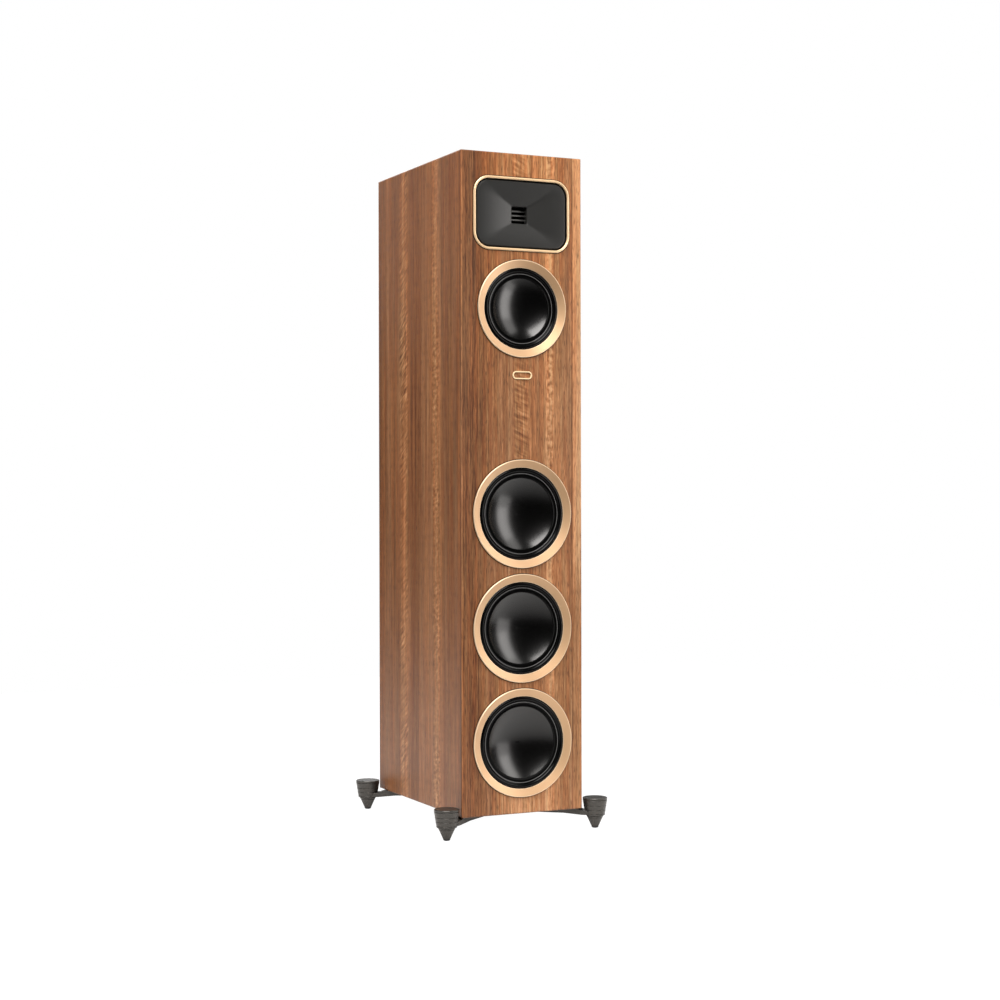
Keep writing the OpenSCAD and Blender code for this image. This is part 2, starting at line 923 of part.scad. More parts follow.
// Plated studs: threaded outside, bored for a plug, with a cross hole for bare wire
module terminal_studs() {
    thread = 1;
    thread_low = washer_z + washer_t;
    turns = floor((stud_end - 1 - thread_low)/thread);
    profile = concat(
        [[0, cup_floor_z - cup_wall - 12], [stud_r, cup_floor_z - cup_wall - 12]],
        [[stud_r, cup_floor_z], [6.5, cup_floor_z], [6.5, cup_floor_z + collar_t]],
        [[stud_r, cup_floor_z + collar_t]],
        [for (i = [0:turns - 1], k = [0, 1, 2])
            [k == 1 ? stud_r - 0.45 : stud_r, thread_low + (i + [0, 0.5, 1][k]*0.98)*thread]],
        [[stud_r, stud_end - 0.5], [stud_r - 0.5, stud_end], [0, stud_end]]
    );
    color([0.85, 0.70, 0.38])
        for (side = [-1, 1])
            at_post(side) {
                difference() {
                    rotate_extrude()
                        polygon(profile);
                    translate([0, 0, stud_end - plug_depth])
                        cylinder(r = plug_r, h = plug_depth + eps);
                    translate([0, 0, washer_z + 1.4])
                        rotate([0, 90, 0])
                            cylinder(r = 1.2, h = 10, center = true);
                }
                // Nut behind the cup
                difference() {
                    translate([0, 0, cup_floor_z - cup_wall - 5])
                        cylinder(r = 6, h = 5, $fn = 6);
                    translate([0, 0, cup_floor_z - cup_wall - 6])
                        cylinder(r = stud_r, h = 7);
                }
            }
}

module clamp_washer(side) {
    at_post(side)
        tube(6.5, stud_r + 0.15, washer_z, washer_z + washer_t);
}

module red_clamp_washer() {
    color(champagne)
        clamp_washer(1);
}

module black_clamp_washer() {
    color(champagne)
        clamp_washer(-1);
}

// Fluted thumb nut, open at its end so that a plug can pass into the stud
module knob(side) {
    flutes = 16;
    depth = 0.8;
    outline = [for (i = [0:flutes*4 - 1])
        let (r = knob_r - (i % 4 < 2 ? 0 : depth), a = i*90/flutes)
            [r*cos(a), r*sin(a)]];
    at_post(side)
        difference() {
            union() {
                translate([0, 0, knob_z + 2])
                    linear_extrude(knob_end - knob_z - 6)
                        polygon(outline);
                translate([0, 0, knob_z])
                    cylinder(r = knob_r - depth, h = 2 + eps);
                translate([0, 0, knob_end - 4 - eps])
                    cylinder(r = knob_r - depth, h = 2.8 + eps);
                translate([0, 0, knob_end - 1.2 - eps])
                    cylinder(r1 = knob_r - depth, r2 = knob_r - depth - 1.2, h = 1.2 + eps);
            }
            translate([0, 0, knob_z - eps])
                cylinder(r = stud_r + 0.05, h = stud_end + 0.6 - knob_z + eps);
            translate([0, 0, knob_z])
                cylinder(r = 2.7, h = knob_end - knob_z + eps);
        }
}

module red_knob() {
    color([0.60, 0.06, 0.06])
        knob(1);
}

module black_knob() {
    color(gloss_black)
        knob(-1);
}

// ---------------------------------------------------------------- crossover and wiring

module crossover_board() {
    post_x = board_w/2 - 6;
    post_y = board_len/2 - 6;
    color([0.12, 0.30, 0.17])
        translate([-board_w/2, board_y - board_len/2, board_z])
            cube([board_w, board_len, board_t]);
    color(steel)
        for (x = [-post_x, post_x], y = [-post_y, post_y])
            translate([x, board_y + y, floor_gap + panel_t])
                cylinder(r = 3.5, h = board_z - floor_gap - panel_t);
    // Blade terminals for the wires
    color(champagne)
        for (i = [0:wire_count - 1])
            translate([trunk_x(i) - 0.5, board_y - board_len/2 + blade_inset, board_top])
                cube([1, 4, blade_h]);
}

module coil(r_out, r_in, h) {
    flange_t = 1.5;
    color(copper)
        translate([0, 0, flange_t])
            tube(r_out, r_in, 0, h - 2*flange_t);
    color(satin_black)
        for (z = [0, h - flange_t])
            tube(r_out + 1.5, r_in - 2, z, z + flange_t);
    color(satin_black)
        tube(r_in, r_in - 2, flange_t, h - flange_t);
}

module crossover_inductors() {
    translate([-47, board_y + 34, board_top])
        coil(24, 11, 22);
    translate([46, board_y + 38, board_top])
        coil(20, 9, 18);
    translate([50, board_y - 42, board_top + 18])
        rotate([90, 0, 0])
            coil(16, 7, 14);
}

// Film capacitor lying on the board, with a bent lead at each end
module capacitor(r, len) {
    color([0.83, 0.80, 0.72])
        translate([-len/2, 0, r + 0.5])
            rotate([0, 90, 0])
                cylinder(r = r, h = len);
    color(steel)
        for (side = [-1, 1])
            translate([side*(len/2 + 2), 0, 0]) {
                cylinder(r = 0.5, h = r + 1);
                translate([-side*1, 0, r + 0.5])
                    rotate([0, 90, 0])
                        cylinder(r = 0.5, h = 2, center = true);
            }
}

module crossover_capacitors() {
    for (spot = [[-4, 56, 8, 34], [2, 34, 10, 38], [2, 11, 11, 42], [-6, -13, 9, 36]])
        translate([spot[0], board_y + spot[1], board_top])
            capacitor(spot[2], spot[3]);
}

module crossover_resistors() {
    color([0.93, 0.92, 0.88])
        for (spot = [[-44, -6], [-44, -26], [50, -6]])
            translate([spot[0] - 12, board_y + spot[1], board_top + 1])
                cube([24, 9, 9]);
}

// Smooth curve through route points, whose slope at a point is no longer than the shorter side
function unit(v) = v/norm(v);
function slope_at(p, i) =
    let (a = p[max(i - 1, 0)], b = p[i], c = p[min(i + 1, len(p) - 1)])
        a == b || b == c ? c - a : unit(c - a)*min(norm(b - a), norm(c - b));
function spline(p, i, t) =
    (2*t*t*t - 3*t*t + 1)*p[i] + (t*t*t - 2*t*t + t)*slope_at(p, i)
    + (3*t*t - 2*t*t*t)*p[i + 1] + (t*t*t - t*t)*slope_at(p, i + 1);
function route(p, steps) = concat(
    [for (i = [0:len(p) - 2], k = [0:steps - 1]) spline(p, i, k/steps)],
    [p[len(p) - 1]]
);

// Round wire along a route that never runs along X
module wire(p) {
    sides = 8;
    n = len(p);
    points = [for (i = [0:n - 1])
        let (
            ahead = unit(p[min(i + 1, n - 1)] - p[max(i - 1, 0)]),
            across = unit(cross(ahead, [1, 0, 0])),
            third = cross(ahead, across)
        )
            each [for (k = [0:sides - 1])
                let (a = k*360/sides)
                    p[i] + wire_r*(cos(a)*across + sin(a)*third)]];
    skin = [for (i = [0:n - 2], k = [0:sides - 1])
        let (m = (k + 1) % sides)
            [i*sides + k, (i + 1)*sides + k, (i + 1)*sides + m, i*sides + m]];
    caps = [[for (k = [0:sides - 1]) k], [for (k = [sides - 1:-1:0]) (n - 1)*sides + k]];
    polyhedron(points, concat(skin, caps));
}

// Wires run up side by side from the crossover's blades and leave the loom one after another
module wiring_loom() {
    tag_y = -cab_d/2 + tag_depth;
    blade_y = board_y - board_len/2 + blade_inset;
    color([0.60, 0.12, 0.10])
        for (i = [0:wire_count - 1]) {
            x = trunk_x(i);
            tag_x = wire_ends[i][1];
            top = wire_ends[i][0];
            wire(route([
                [x, blade_y, board_top + 4],
                [x, blade_y - 3, board_top + 4],
                [x, blade_y - 13, board_top + 12],
                [x, 0, board_top + 30],
                [x, 0, top - 46],
                [x - 1, -18, top - 14],
                [tag_x, -70, top],
                [tag_x, tag_y, top]
            ], 6));
        }
}

// ---------------------------------------------------------------- feet

// Puts a foot's parts at one corner, with +x pointing inwards along its arm
module at_foot(corner) {
    x = corner == "fl" || corner == "rl" ? -foot_x : foot_x;
    front = corner == "fl" || corner == "fr";
    y = front ? -foot_front_y : foot_rear_y;
    inward = atan2(front ? sin(arm_angle) : -sin(arm_angle), x < 0 ? cos(arm_angle) : -cos(arm_angle));
    translate([x, y, 0])
        rotate(inward)
            children();
}

module at_bolts() {
    for (c = corners)
        at_foot(c)
            for (s = bolt_places)
                translate([s, 0, 0])
                    children();
}

// Tapered boss with three fine grooves
module boss_body() {
    low_r = 16.5;
    grooves = [24, 31, 38];
    groove = 0.6;
    slope = (boss_r - low_r)/(boss_top - boss_bottom);
    rotate_extrude()
        polygon(concat(
            [[0, boss_bottom], [low_r, boss_bottom]],
            [for (z = grooves, k = [-1, 0, 1])
                [low_r + slope*(z - boss_bottom) - (k == 0 ? groove : 0), z + k*groove]],
            [[boss_r, boss_top - 0.6], [boss_r - 0.6, boss_top], [0, boss_top]]
        ));
}

// Cast arm under the cabinet, thick at the boss and thinner towards its inner end
module outriggers() {
    end_w = 20;
    color(foot_grey)
        for (c = corners)
            at_foot(c)
                difference() {
                    union() {
                        boss_body();
                        intersection() {
                            linear_extrude(floor_gap) {
                                polygon([
                                    [0, -arm_w/2], [arm_len, -end_w/2],
                                    [arm_len, end_w/2], [0, arm_w/2]
                                ]);
                                translate([arm_len, 0])
                                    circle(end_w/2);
                            }
                            translate([0, arm_w, 0])
                                rotate([90, 0, 0])
                                    linear_extrude(2*arm_w)
                                        polygon([
                                            [0, boss_bottom + 1], [boss_r, boss_bottom + 1], [52, 25.5],
                                            [arm_len + end_w, 27], [arm_len + end_w, floor_gap],
                                            [boss_r + 14, floor_gap], [boss_r, floor_gap - arm_drop],
                                            [0, floor_gap - arm_drop]
                                        ]);
                        }
                    }
                    translate([0, 0, boss_bottom - eps])
                        cylinder(r = bore_r, h = boss_top - boss_bottom + 2*eps);
                    for (s = bolt_places)
                        translate([s, 0, 0]) {
                            cylinder(r = bolt_r + screw_clear, h = floor_gap + eps);
                            cylinder(r = bolt_head_r + 0.4, h = bolt_head_z + bolt_head_h);
                        }
                }
}

module foot_caps() {
    color(foot_grey)
        for (c = corners)
            at_foot(c)
                rotate_extrude()
                    polygon([
                        [0, boss_top], [boss_r - 0.7, boss_top], [boss_r, boss_top + 0.7],
                        [boss_r, cap_top - 0.9], [boss_r - 0.7, cap_top], [boss_r - 1.6, cap_top],
                        [boss_r - 2, cap_top - 0.3], [0, cap_top - 0.3]
                    ]);
}

// Rubber foot, flat underneath, with a pin on which the spike turns
module foot_pad(corner) {
    color(rubber_black)
        at_foot(corner)
            rotate_extrude()
                polygon([
                    [0, 0], [4, 0], [5, 0.5], [pad_r, 1.6], [pad_r, pad_h - 0.2],
                    [pin_r, pad_h - 0.2], [pin_r, pin_top], [0, pin_top]
                ]);
}

// Fluted cone with a collar and a threaded stem
module foot_spike(corner) {
    tip_r = 6;
    wide_r = 12;
    flutes = 20;
    flute_r = 0.7;
    lean = atan((wide_r - tip_r)/(cone_top - pad_h));
    stem_low = collar_top;
    turns = floor((stem_top - stem_low - 3)/thread_pitch);
    color(foot_grey)
        at_foot(corner)
            difference() {
                rotate_extrude()
                    polygon(concat(
                        [[0, pad_h], [tip_r, pad_h], [wide_r, cone_top], [12.3, 16.5]],
                        [[12.8, 17.3], [12.2, 17.8], [13.2, 18.3], [14.3, collar_top - 0.6]],
                        [[13.7, collar_top], [stem_r - 0.6, collar_top]],
                        [for (i = [0:turns - 1], k = [0, 1])
                            [k == 0 ? stem_r - 0.6 : stem_r, stem_low + 1 + (i + k/2)*thread_pitch]],
                        [[stem_r - 0.6, stem_top - 1], [stem_r - 1, stem_top], [0, stem_top]]
                    ));
                translate([0, 0, pad_h - eps])
                    cylinder(r = pin_r + 0.05, h = pin_top - pad_h + 0.5);
                for (i = [0:flutes - 1])
                    rotate(i*360/flutes)
                        translate([tip_r + 0.25, 0, pad_h])
                            rotate([0, lean, 0])
                                translate([0, 0, -2])
                                    cylinder(r = flute_r, h = 14.6);
            }
}

// ---------------------------------------------------------------- fasteners

module countersunk_screw(len) {
    rotate_extrude()
        polygon([
            [0, 0], [1.1, 0], [1.1, -1], [2.2, -1], [2.2, 0], [2.8, 0], [2.8, -0.6],
            [screw_r, -1.8], [screw_r, 1 - len], [0.4, -len], [0, -len]
        ]);
}

module mounting_screws() {
    color(steel) {
        for (i = [1:woofer_count])
            on_front(woofer_z(i))
                around_driver(woofer)
                    translate([0, 0, seat_z - 0.1])
                        countersunk_screw(screw_len - 1);
        on_front(floor_gap + mid_h)
            around_driver(midrange)
                translate([0, 0, seat_z - 0.1])
                    countersunk_screw(screw_len - 1);
        on_rear(floor_gap + cup_h)
            at_cup_screws()
                translate([0, 0, cup_flange_t - 0.1])
                    countersunk_screw(13);
    }
    // Bolts up through the arms into the bottom panel
    shank_z = bolt_head_z + bolt_head_h;
    color(foot_grey)
        at_bolts() {
            translate([0, 0, bolt_head_z])
                cylinder(r = bolt_head_r, h = bolt_head_h);
            translate([0, 0, shank_z])
                cylinder(r = bolt_r, h = floor_gap + panel_t - shank_z);
        }
}

// ---------------------------------------------------------------- drawing

front_baffle();
left_side_panel();
right_side_panel();
top_panel();
bottom_panel();
rear_panel();
chamber_shelf();
window_braces();
damping_wadding();
reflex_ports();
badge();
waveguide();
waveguide_trim();
tweeter_front_plate();
tweeter_diaphragm();
tweeter_magnet();
midrange_trim_ring();
woofer_trim_rings();
for (part = driver_parts)
    midrange_part(part);
for (i = [1:woofer_count], part = driver_parts)
    woofer_part(i, part);
terminal_cup();
terminal_studs();
red_clamp_washer();
black_clamp_washer();
red_knob();
black_knob();
crossover_board();
crossover_inductors();
crossover_capacitors();
crossover_resistors();
wiring_loom();
outriggers();
foot_caps();
mounting_screws();
for (c = corners) {
    foot_pad(c);
    foot_spike(c);
}
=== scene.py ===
import json
import math

import bmesh
import bpy
from mathutils import Matrix, Vector


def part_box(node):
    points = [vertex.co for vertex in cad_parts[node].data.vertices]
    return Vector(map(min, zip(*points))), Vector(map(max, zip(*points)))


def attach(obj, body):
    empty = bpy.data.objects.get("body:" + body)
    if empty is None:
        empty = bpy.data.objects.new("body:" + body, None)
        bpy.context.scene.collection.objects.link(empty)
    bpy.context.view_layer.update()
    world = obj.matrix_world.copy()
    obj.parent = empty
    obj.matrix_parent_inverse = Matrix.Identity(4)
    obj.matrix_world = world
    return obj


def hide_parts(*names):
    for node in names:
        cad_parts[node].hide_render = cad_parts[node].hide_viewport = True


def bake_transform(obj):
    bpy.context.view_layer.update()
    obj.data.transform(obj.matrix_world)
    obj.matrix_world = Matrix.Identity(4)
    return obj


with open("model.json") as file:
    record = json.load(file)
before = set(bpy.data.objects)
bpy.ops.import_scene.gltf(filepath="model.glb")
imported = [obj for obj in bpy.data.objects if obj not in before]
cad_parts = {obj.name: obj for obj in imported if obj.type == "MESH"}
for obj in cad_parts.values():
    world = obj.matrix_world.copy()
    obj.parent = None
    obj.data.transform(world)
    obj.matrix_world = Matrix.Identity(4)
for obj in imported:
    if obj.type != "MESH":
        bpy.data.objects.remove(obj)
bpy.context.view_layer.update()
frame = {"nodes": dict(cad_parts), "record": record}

MM = 0.001
WOOFERS = ["woofer_1", "woofer_2", "woofer_3"]
DRIVERS = WOOFERS + ["midrange"]


# ------------------------------------------------------------------ small helpers

def middle(node):
    low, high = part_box(node)
    return (low + high)/2


def link_object(name, mesh):
    piece = bpy.data.objects.new(name, mesh)
    bpy.context.scene.collection.objects.link(piece)
    return piece


# ------------------------------------------------------------------ camera and light

# Where the camera stands: seen from the cabinet's front left, a little above half its height
CAMERA_PLACE = Vector((-1.3669, -2.9549, 0.5588))
CAMERA_YAW = math.radians(25.531)
CAMERA_PITCH = math.radians(-0.205)
CAMERA_ROLL = math.radians(-0.128)
CAMERA_LENS = 68.02
SENSOR = 36.0


def make_camera():
    data = bpy.data.cameras.new("view_camera")
    data.lens = CAMERA_LENS
    data.sensor_width = SENSOR
    data.clip_end = 60
    camera = bpy.data.objects.new("view_camera", data)
    bpy.context.scene.collection.objects.link(camera)
    ahead = Vector((
        math.sin(CAMERA_YAW)*math.cos(CAMERA_PITCH),
        math.cos(CAMERA_YAW)*math.cos(CAMERA_PITCH),
        math.sin(CAMERA_PITCH),
    ))
    level_right = ahead.cross(Vector((0, 0, 1))).normalized()
    level_up = level_right.cross(ahead)
    right = level_right*math.cos(CAMERA_ROLL) + level_up*math.sin(CAMERA_ROLL)
    up = right.cross(ahead)
    axes = Matrix((right, up, -ahead)).transposed()
    camera.matrix_world = Matrix.Translation(CAMERA_PLACE) @ axes.to_4x4()
    bpy.context.scene.camera = camera


def softbox(name, place, target, width, height, power, colour=(1, 1, 1), roll=0):
    data = bpy.data.lights.new(name, "AREA")
    data.shape = "RECTANGLE"
    data.size = width
    data.size_y = height
    data.energy = power
    data.color = colour
    lamp = bpy.data.objects.new(name, data)
    lamp.visible_camera = False
    bpy.context.scene.collection.objects.link(lamp)
    aim = (Vector(target) - Vector(place)).to_track_quat("-Z", "Y")
    turned = aim.to_matrix().to_4x4() @ Matrix.Rotation(math.radians(roll), 4, "Z")
    lamp.matrix_world = Matrix.Translation(Vector(place)) @ turned


def make_world():
    """White behind the object for the camera, and a dim studio for everything else."""
    world = bpy.data.worlds.new("studio")
    bpy.context.scene.world = world
    world.use_nodes = True
    tree = world.node_tree
    tree.nodes.clear()
    seen = tree.nodes.new("ShaderNodeBackground")
    seen.inputs["Color"].default_value = (1, 1, 1, 1)
    seen.inputs["Strength"].default_value = 1.0
    lit = tree.nodes.new("ShaderNodeBackground")
    lit.inputs["Color"].default_value = (1.0, 0.98, 0.96, 1)
    lit.inputs["Strength"].default_value = 0.02
    path = tree.nodes.new("ShaderNodeLightPath")
    mix = tree.nodes.new("ShaderNodeMixShader")
    out = tree.nodes.new("ShaderNodeOutputWorld")
    tree.links.new(path.outputs["Is Camera Ray"], mix.inputs["Fac"])
    tree.links.new(lit.outputs["Background"], mix.inputs[1])
    tree.links.new(seen.outputs["Background"], mix.inputs[2])
    tree.links.new(mix.outputs["Shader"], out.inputs["Surface"])


# The lights stand round this depth, about that of the baffle's face
LIT_DEPTH = -0.18


def around(azimuth, distance, height):
    """A place round the cabinet's front: azimuth in degrees from straight ahead, positive to its right."""
    a = math.radians(azimuth)
    return (math.sin(a)*distance, LIT_DEPTH - math.cos(a)*distance, height)


def make_lights():
    warm = (1.0, 0.97, 0.94)
    # A tall softbox that stands on the floor close to the right, brighter towards its middle
    softbox("right_light", around(55, 1.25, 1.02), (0, LIT_DEPTH, 1.02), 0.60, 2.04, 12.0, warm)
    softbox("right_lamp", around(55, 1.22, 0.82), (0, LIT_DEPTH, 0.80), 0.44, 0.95, 4.0, warm)
    # The key light, high up on the left, turned on its corner
    softbox("key_light", around(-33, 2.85, 4.7), (0, LIT_DEPTH, 0.6), 3.9, 3.9, 625, warm, 49)
    softbox("left_light", around(-100, 2.6, 1.0), (0, 0, 0.6), 1.6, 2.0, 26, (1.0, 0.97, 0.95))
    softbox("rear_light", around(172, 2.6, 1.7), (0, 0, 0.6), 1.8, 1.4, 34)
    softbox("rear_right_light", around(110, 2.8, 1.3), (0, 0, 0.6), 1.2, 2.0, 24)


# The pale sheet that the speaker stands on reaches this far in front of it, behind it and sideways
FLOOR_FRONT, FLOOR_REAR, FLOOR_SIDE = 1.4, 2.4, 1.9


def make_floor():
    bm = bmesh.new()
    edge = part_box("front_baffle")[0].y - FLOOR_FRONT
    corners = [(-FLOOR_SIDE, edge), (FLOOR_SIDE, edge),
               (FLOOR_SIDE, FLOOR_REAR), (-FLOOR_SIDE, FLOOR_REAR)]
    bm.faces.new([bm.verts.new((x, y, 0)) for x, y in corners])
    mesh = bpy.data.meshes.new("studio_floor")
    bm.to_mesh(mesh)
    bm.free()
    floor = link_object("studio_floor", mesh)
    floor.data.materials.append(floor_material())


# ------------------------------------------------------------------ material helpers

class Shader:
    """A material with its node tree, built one node at a time."""

    def __init__(self, name):
        self.material = bpy.data.materials.new(name)
        self.material.use_nodes = True
        self.tree = self.material.node_tree
        self.surface = self.tree.nodes["Principled BSDF"]
        self.coords = self.add("ShaderNodeTexCoord").outputs["Object"]

    def add(self, kind, inputs=None, **settings):
        node = self.tree.nodes.new(kind)
        for key, value in settings.items():
            setattr(node, key, value)
        for key, value in (inputs or {}).items():
            self.put(node.inputs[key], value)
        return node

    def put(self, socket, value):
        if isinstance(value, bpy.types.NodeSocket):
            self.tree.links.new(value, socket)
        else:
            socket.default_value = value

    def set(self, **values):
        """Sets the surface's sockets; underscores stand for spaces."""
        for key, value in values.items():
            self.put(self.surface.inputs[key.replace("_", " ")], value)

    def stretched(self, scale):
        return self.add("ShaderNodeMapping", {"Vector": self.coords, "Scale": scale}).outputs["Vector"]

    def noise(self, vector, scale, detail=2.0, rough=0.5, distortion=0.0):
        return self.add("ShaderNodeTexNoise", {
            "Vector": vector, "Scale": scale, "Detail": detail,
            "Roughness": rough, "Distortion": distortion,
        }).outputs["Fac"]

    def math(self, operation, a, b=0.0, c=0.0, clamp=False):
        node = self.add("ShaderNodeMath", operation=operation, use_clamp=clamp)
        for socket, value in zip(node.inputs, (a, b, c)):
            self.put(socket, value)
        return node.outputs[0]

    def remap(self, value, low, high, to_low=0.0, to_high=1.0, smooth=False):
        return self.add("ShaderNodeMapRange", {
            "Value": value, "From Min": low, "From Max": high,
            "To Min": to_low, "To Max": to_high,
        }, interpolation_type="SMOOTHSTEP" if smooth else "LINEAR").outputs["Result"]

    def mix(self, factor, a, b, blend="MIX"):
        node = self.add("ShaderNodeMix", data_type="RGBA", blend_type=blend)
        self.put(node.inputs["Factor"], factor)
        self.put(node.inputs[6], a)
        self.put(node.inputs[7], b)
        return node.outputs[2]

    def ramp(self, value, stops):
        node = self.add("ShaderNodeValToRGB", {"Fac": value})
        elements = node.color_ramp.elements
        while len(elements) < len(stops):
            elements.new(0.5)
        for element, (place, colour) in zip(elements, stops):
            element.position = place
            element.color = colour
        return node.outputs["Color"]

    def bump(self, height, distance, strength=1.0, normal=None):
        inputs = {"Height": height, "Distance": distance, "Strength": strength}
        if normal is not None:
            inputs["Normal"] = normal
        return self.add("ShaderNodeBump", inputs).outputs["Normal"]

    def rounded(self, radius):
        """Normals as if sharp edges were rounded by this radius."""
        return self.add("ShaderNodeBevel", {"Radius": radius}, samples=4).outputs["Normal"]

    def axis(self, name):
        return self.add("ShaderNodeSeparateXYZ", {"Vector": self.coords}).outputs[name]


def rgb(r, g, b):
    return (r, g, b, 1.0)


# ------------------------------------------------------------------ materials

def floor_material():
    """Pale paper that photographs as white; towards its front edge its colour is painted darker, painted
    shade for light that falls away.
    """
    s = Shader("studio_paper")
    cloud = s.noise(s.coords, 0.8)
    camera = s.add("ShaderNodeLightPath").outputs["Is Camera Ray"]
    paper = s.mix(cloud, rgb(0.78, 0.78, 0.78), rgb(0.84, 0.84, 0.84))
    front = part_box("front_baffle")[0].y
    # Painted shade: the paper is painted darker towards its front edge, as if less light fell there
    far = s.remap(s.axis("Y"), front - FLOOR_FRONT, front - 0.12, 0.0, 1.0)
    painted_falloff = s.math("POWER", far, 2.0)
    paper = s.mix(painted_falloff, rgb(0.02, 0.02, 0.02), paper)
    s.set(
        Base_Color=s.mix(camera, paper, rgb(0.08, 0.08, 0.08)),
        Roughness=1.0,
        Specular_IOR_Level=0.0,
        Emission_Color=rgb(1, 1, 1),
        Emission_Strength=camera,
    )
    return s.material


# Tone of the veneer's bands across each face, from dark 0 to pale 1: (place across in m, tone)
FRONT_BANDS = [(-0.110, 0.30), (-0.084, 0.26), (-0.062, 0.38), (-0.030, 0.46), (0.000, 0.55),
               (0.036, 0.52), (0.050, 0.76), (0.062, 0.57), (0.080, 0.52), (0.091, 0.53), (0.110, 0.64)]
SIDE_BANDS = [(-0.178, 0.36), (-0.112, 0.34), (-0.096, 0.46), (-0.078, 0.56), (-0.058, 0.44),
              (-0.020, 0.38), (0.026, 0.30), (0.046, 0.47), (0.062, 0.56), (0.080, 0.38),
              (0.108, 0.36), (0.130, 0.40), (0.156, 0.31), (0.178, 0.31)]
REAR_BANDS = [(-0.110, 0.40), (-0.060, 0.30), (0.000, 0.50), (0.050, 0.34), (0.110, 0.44)]
LEVEL_BANDS = [(-0.178, 0.30), (-0.090, 0.50), (0.000, 0.36), (0.080, 0.52), (0.178, 0.34)]

# Grain layers from broad to fine: (changes per metre across, changes per metre along, weight)
FRONT_GRAIN = [(28, 0.6, 0.20), (130, 2.5, 0.38), (400, 8.0, 0.78), (400, 36.0, 0.45),
               (1000, 40.0, 0.60)]
SIDE_GRAIN = [(26, 0.5, 0.25), (110, 2.2, 0.55), (240, 5.0, 0.45), (200, 35.0, 0.28),
              (700, 25.0, 0.35)]


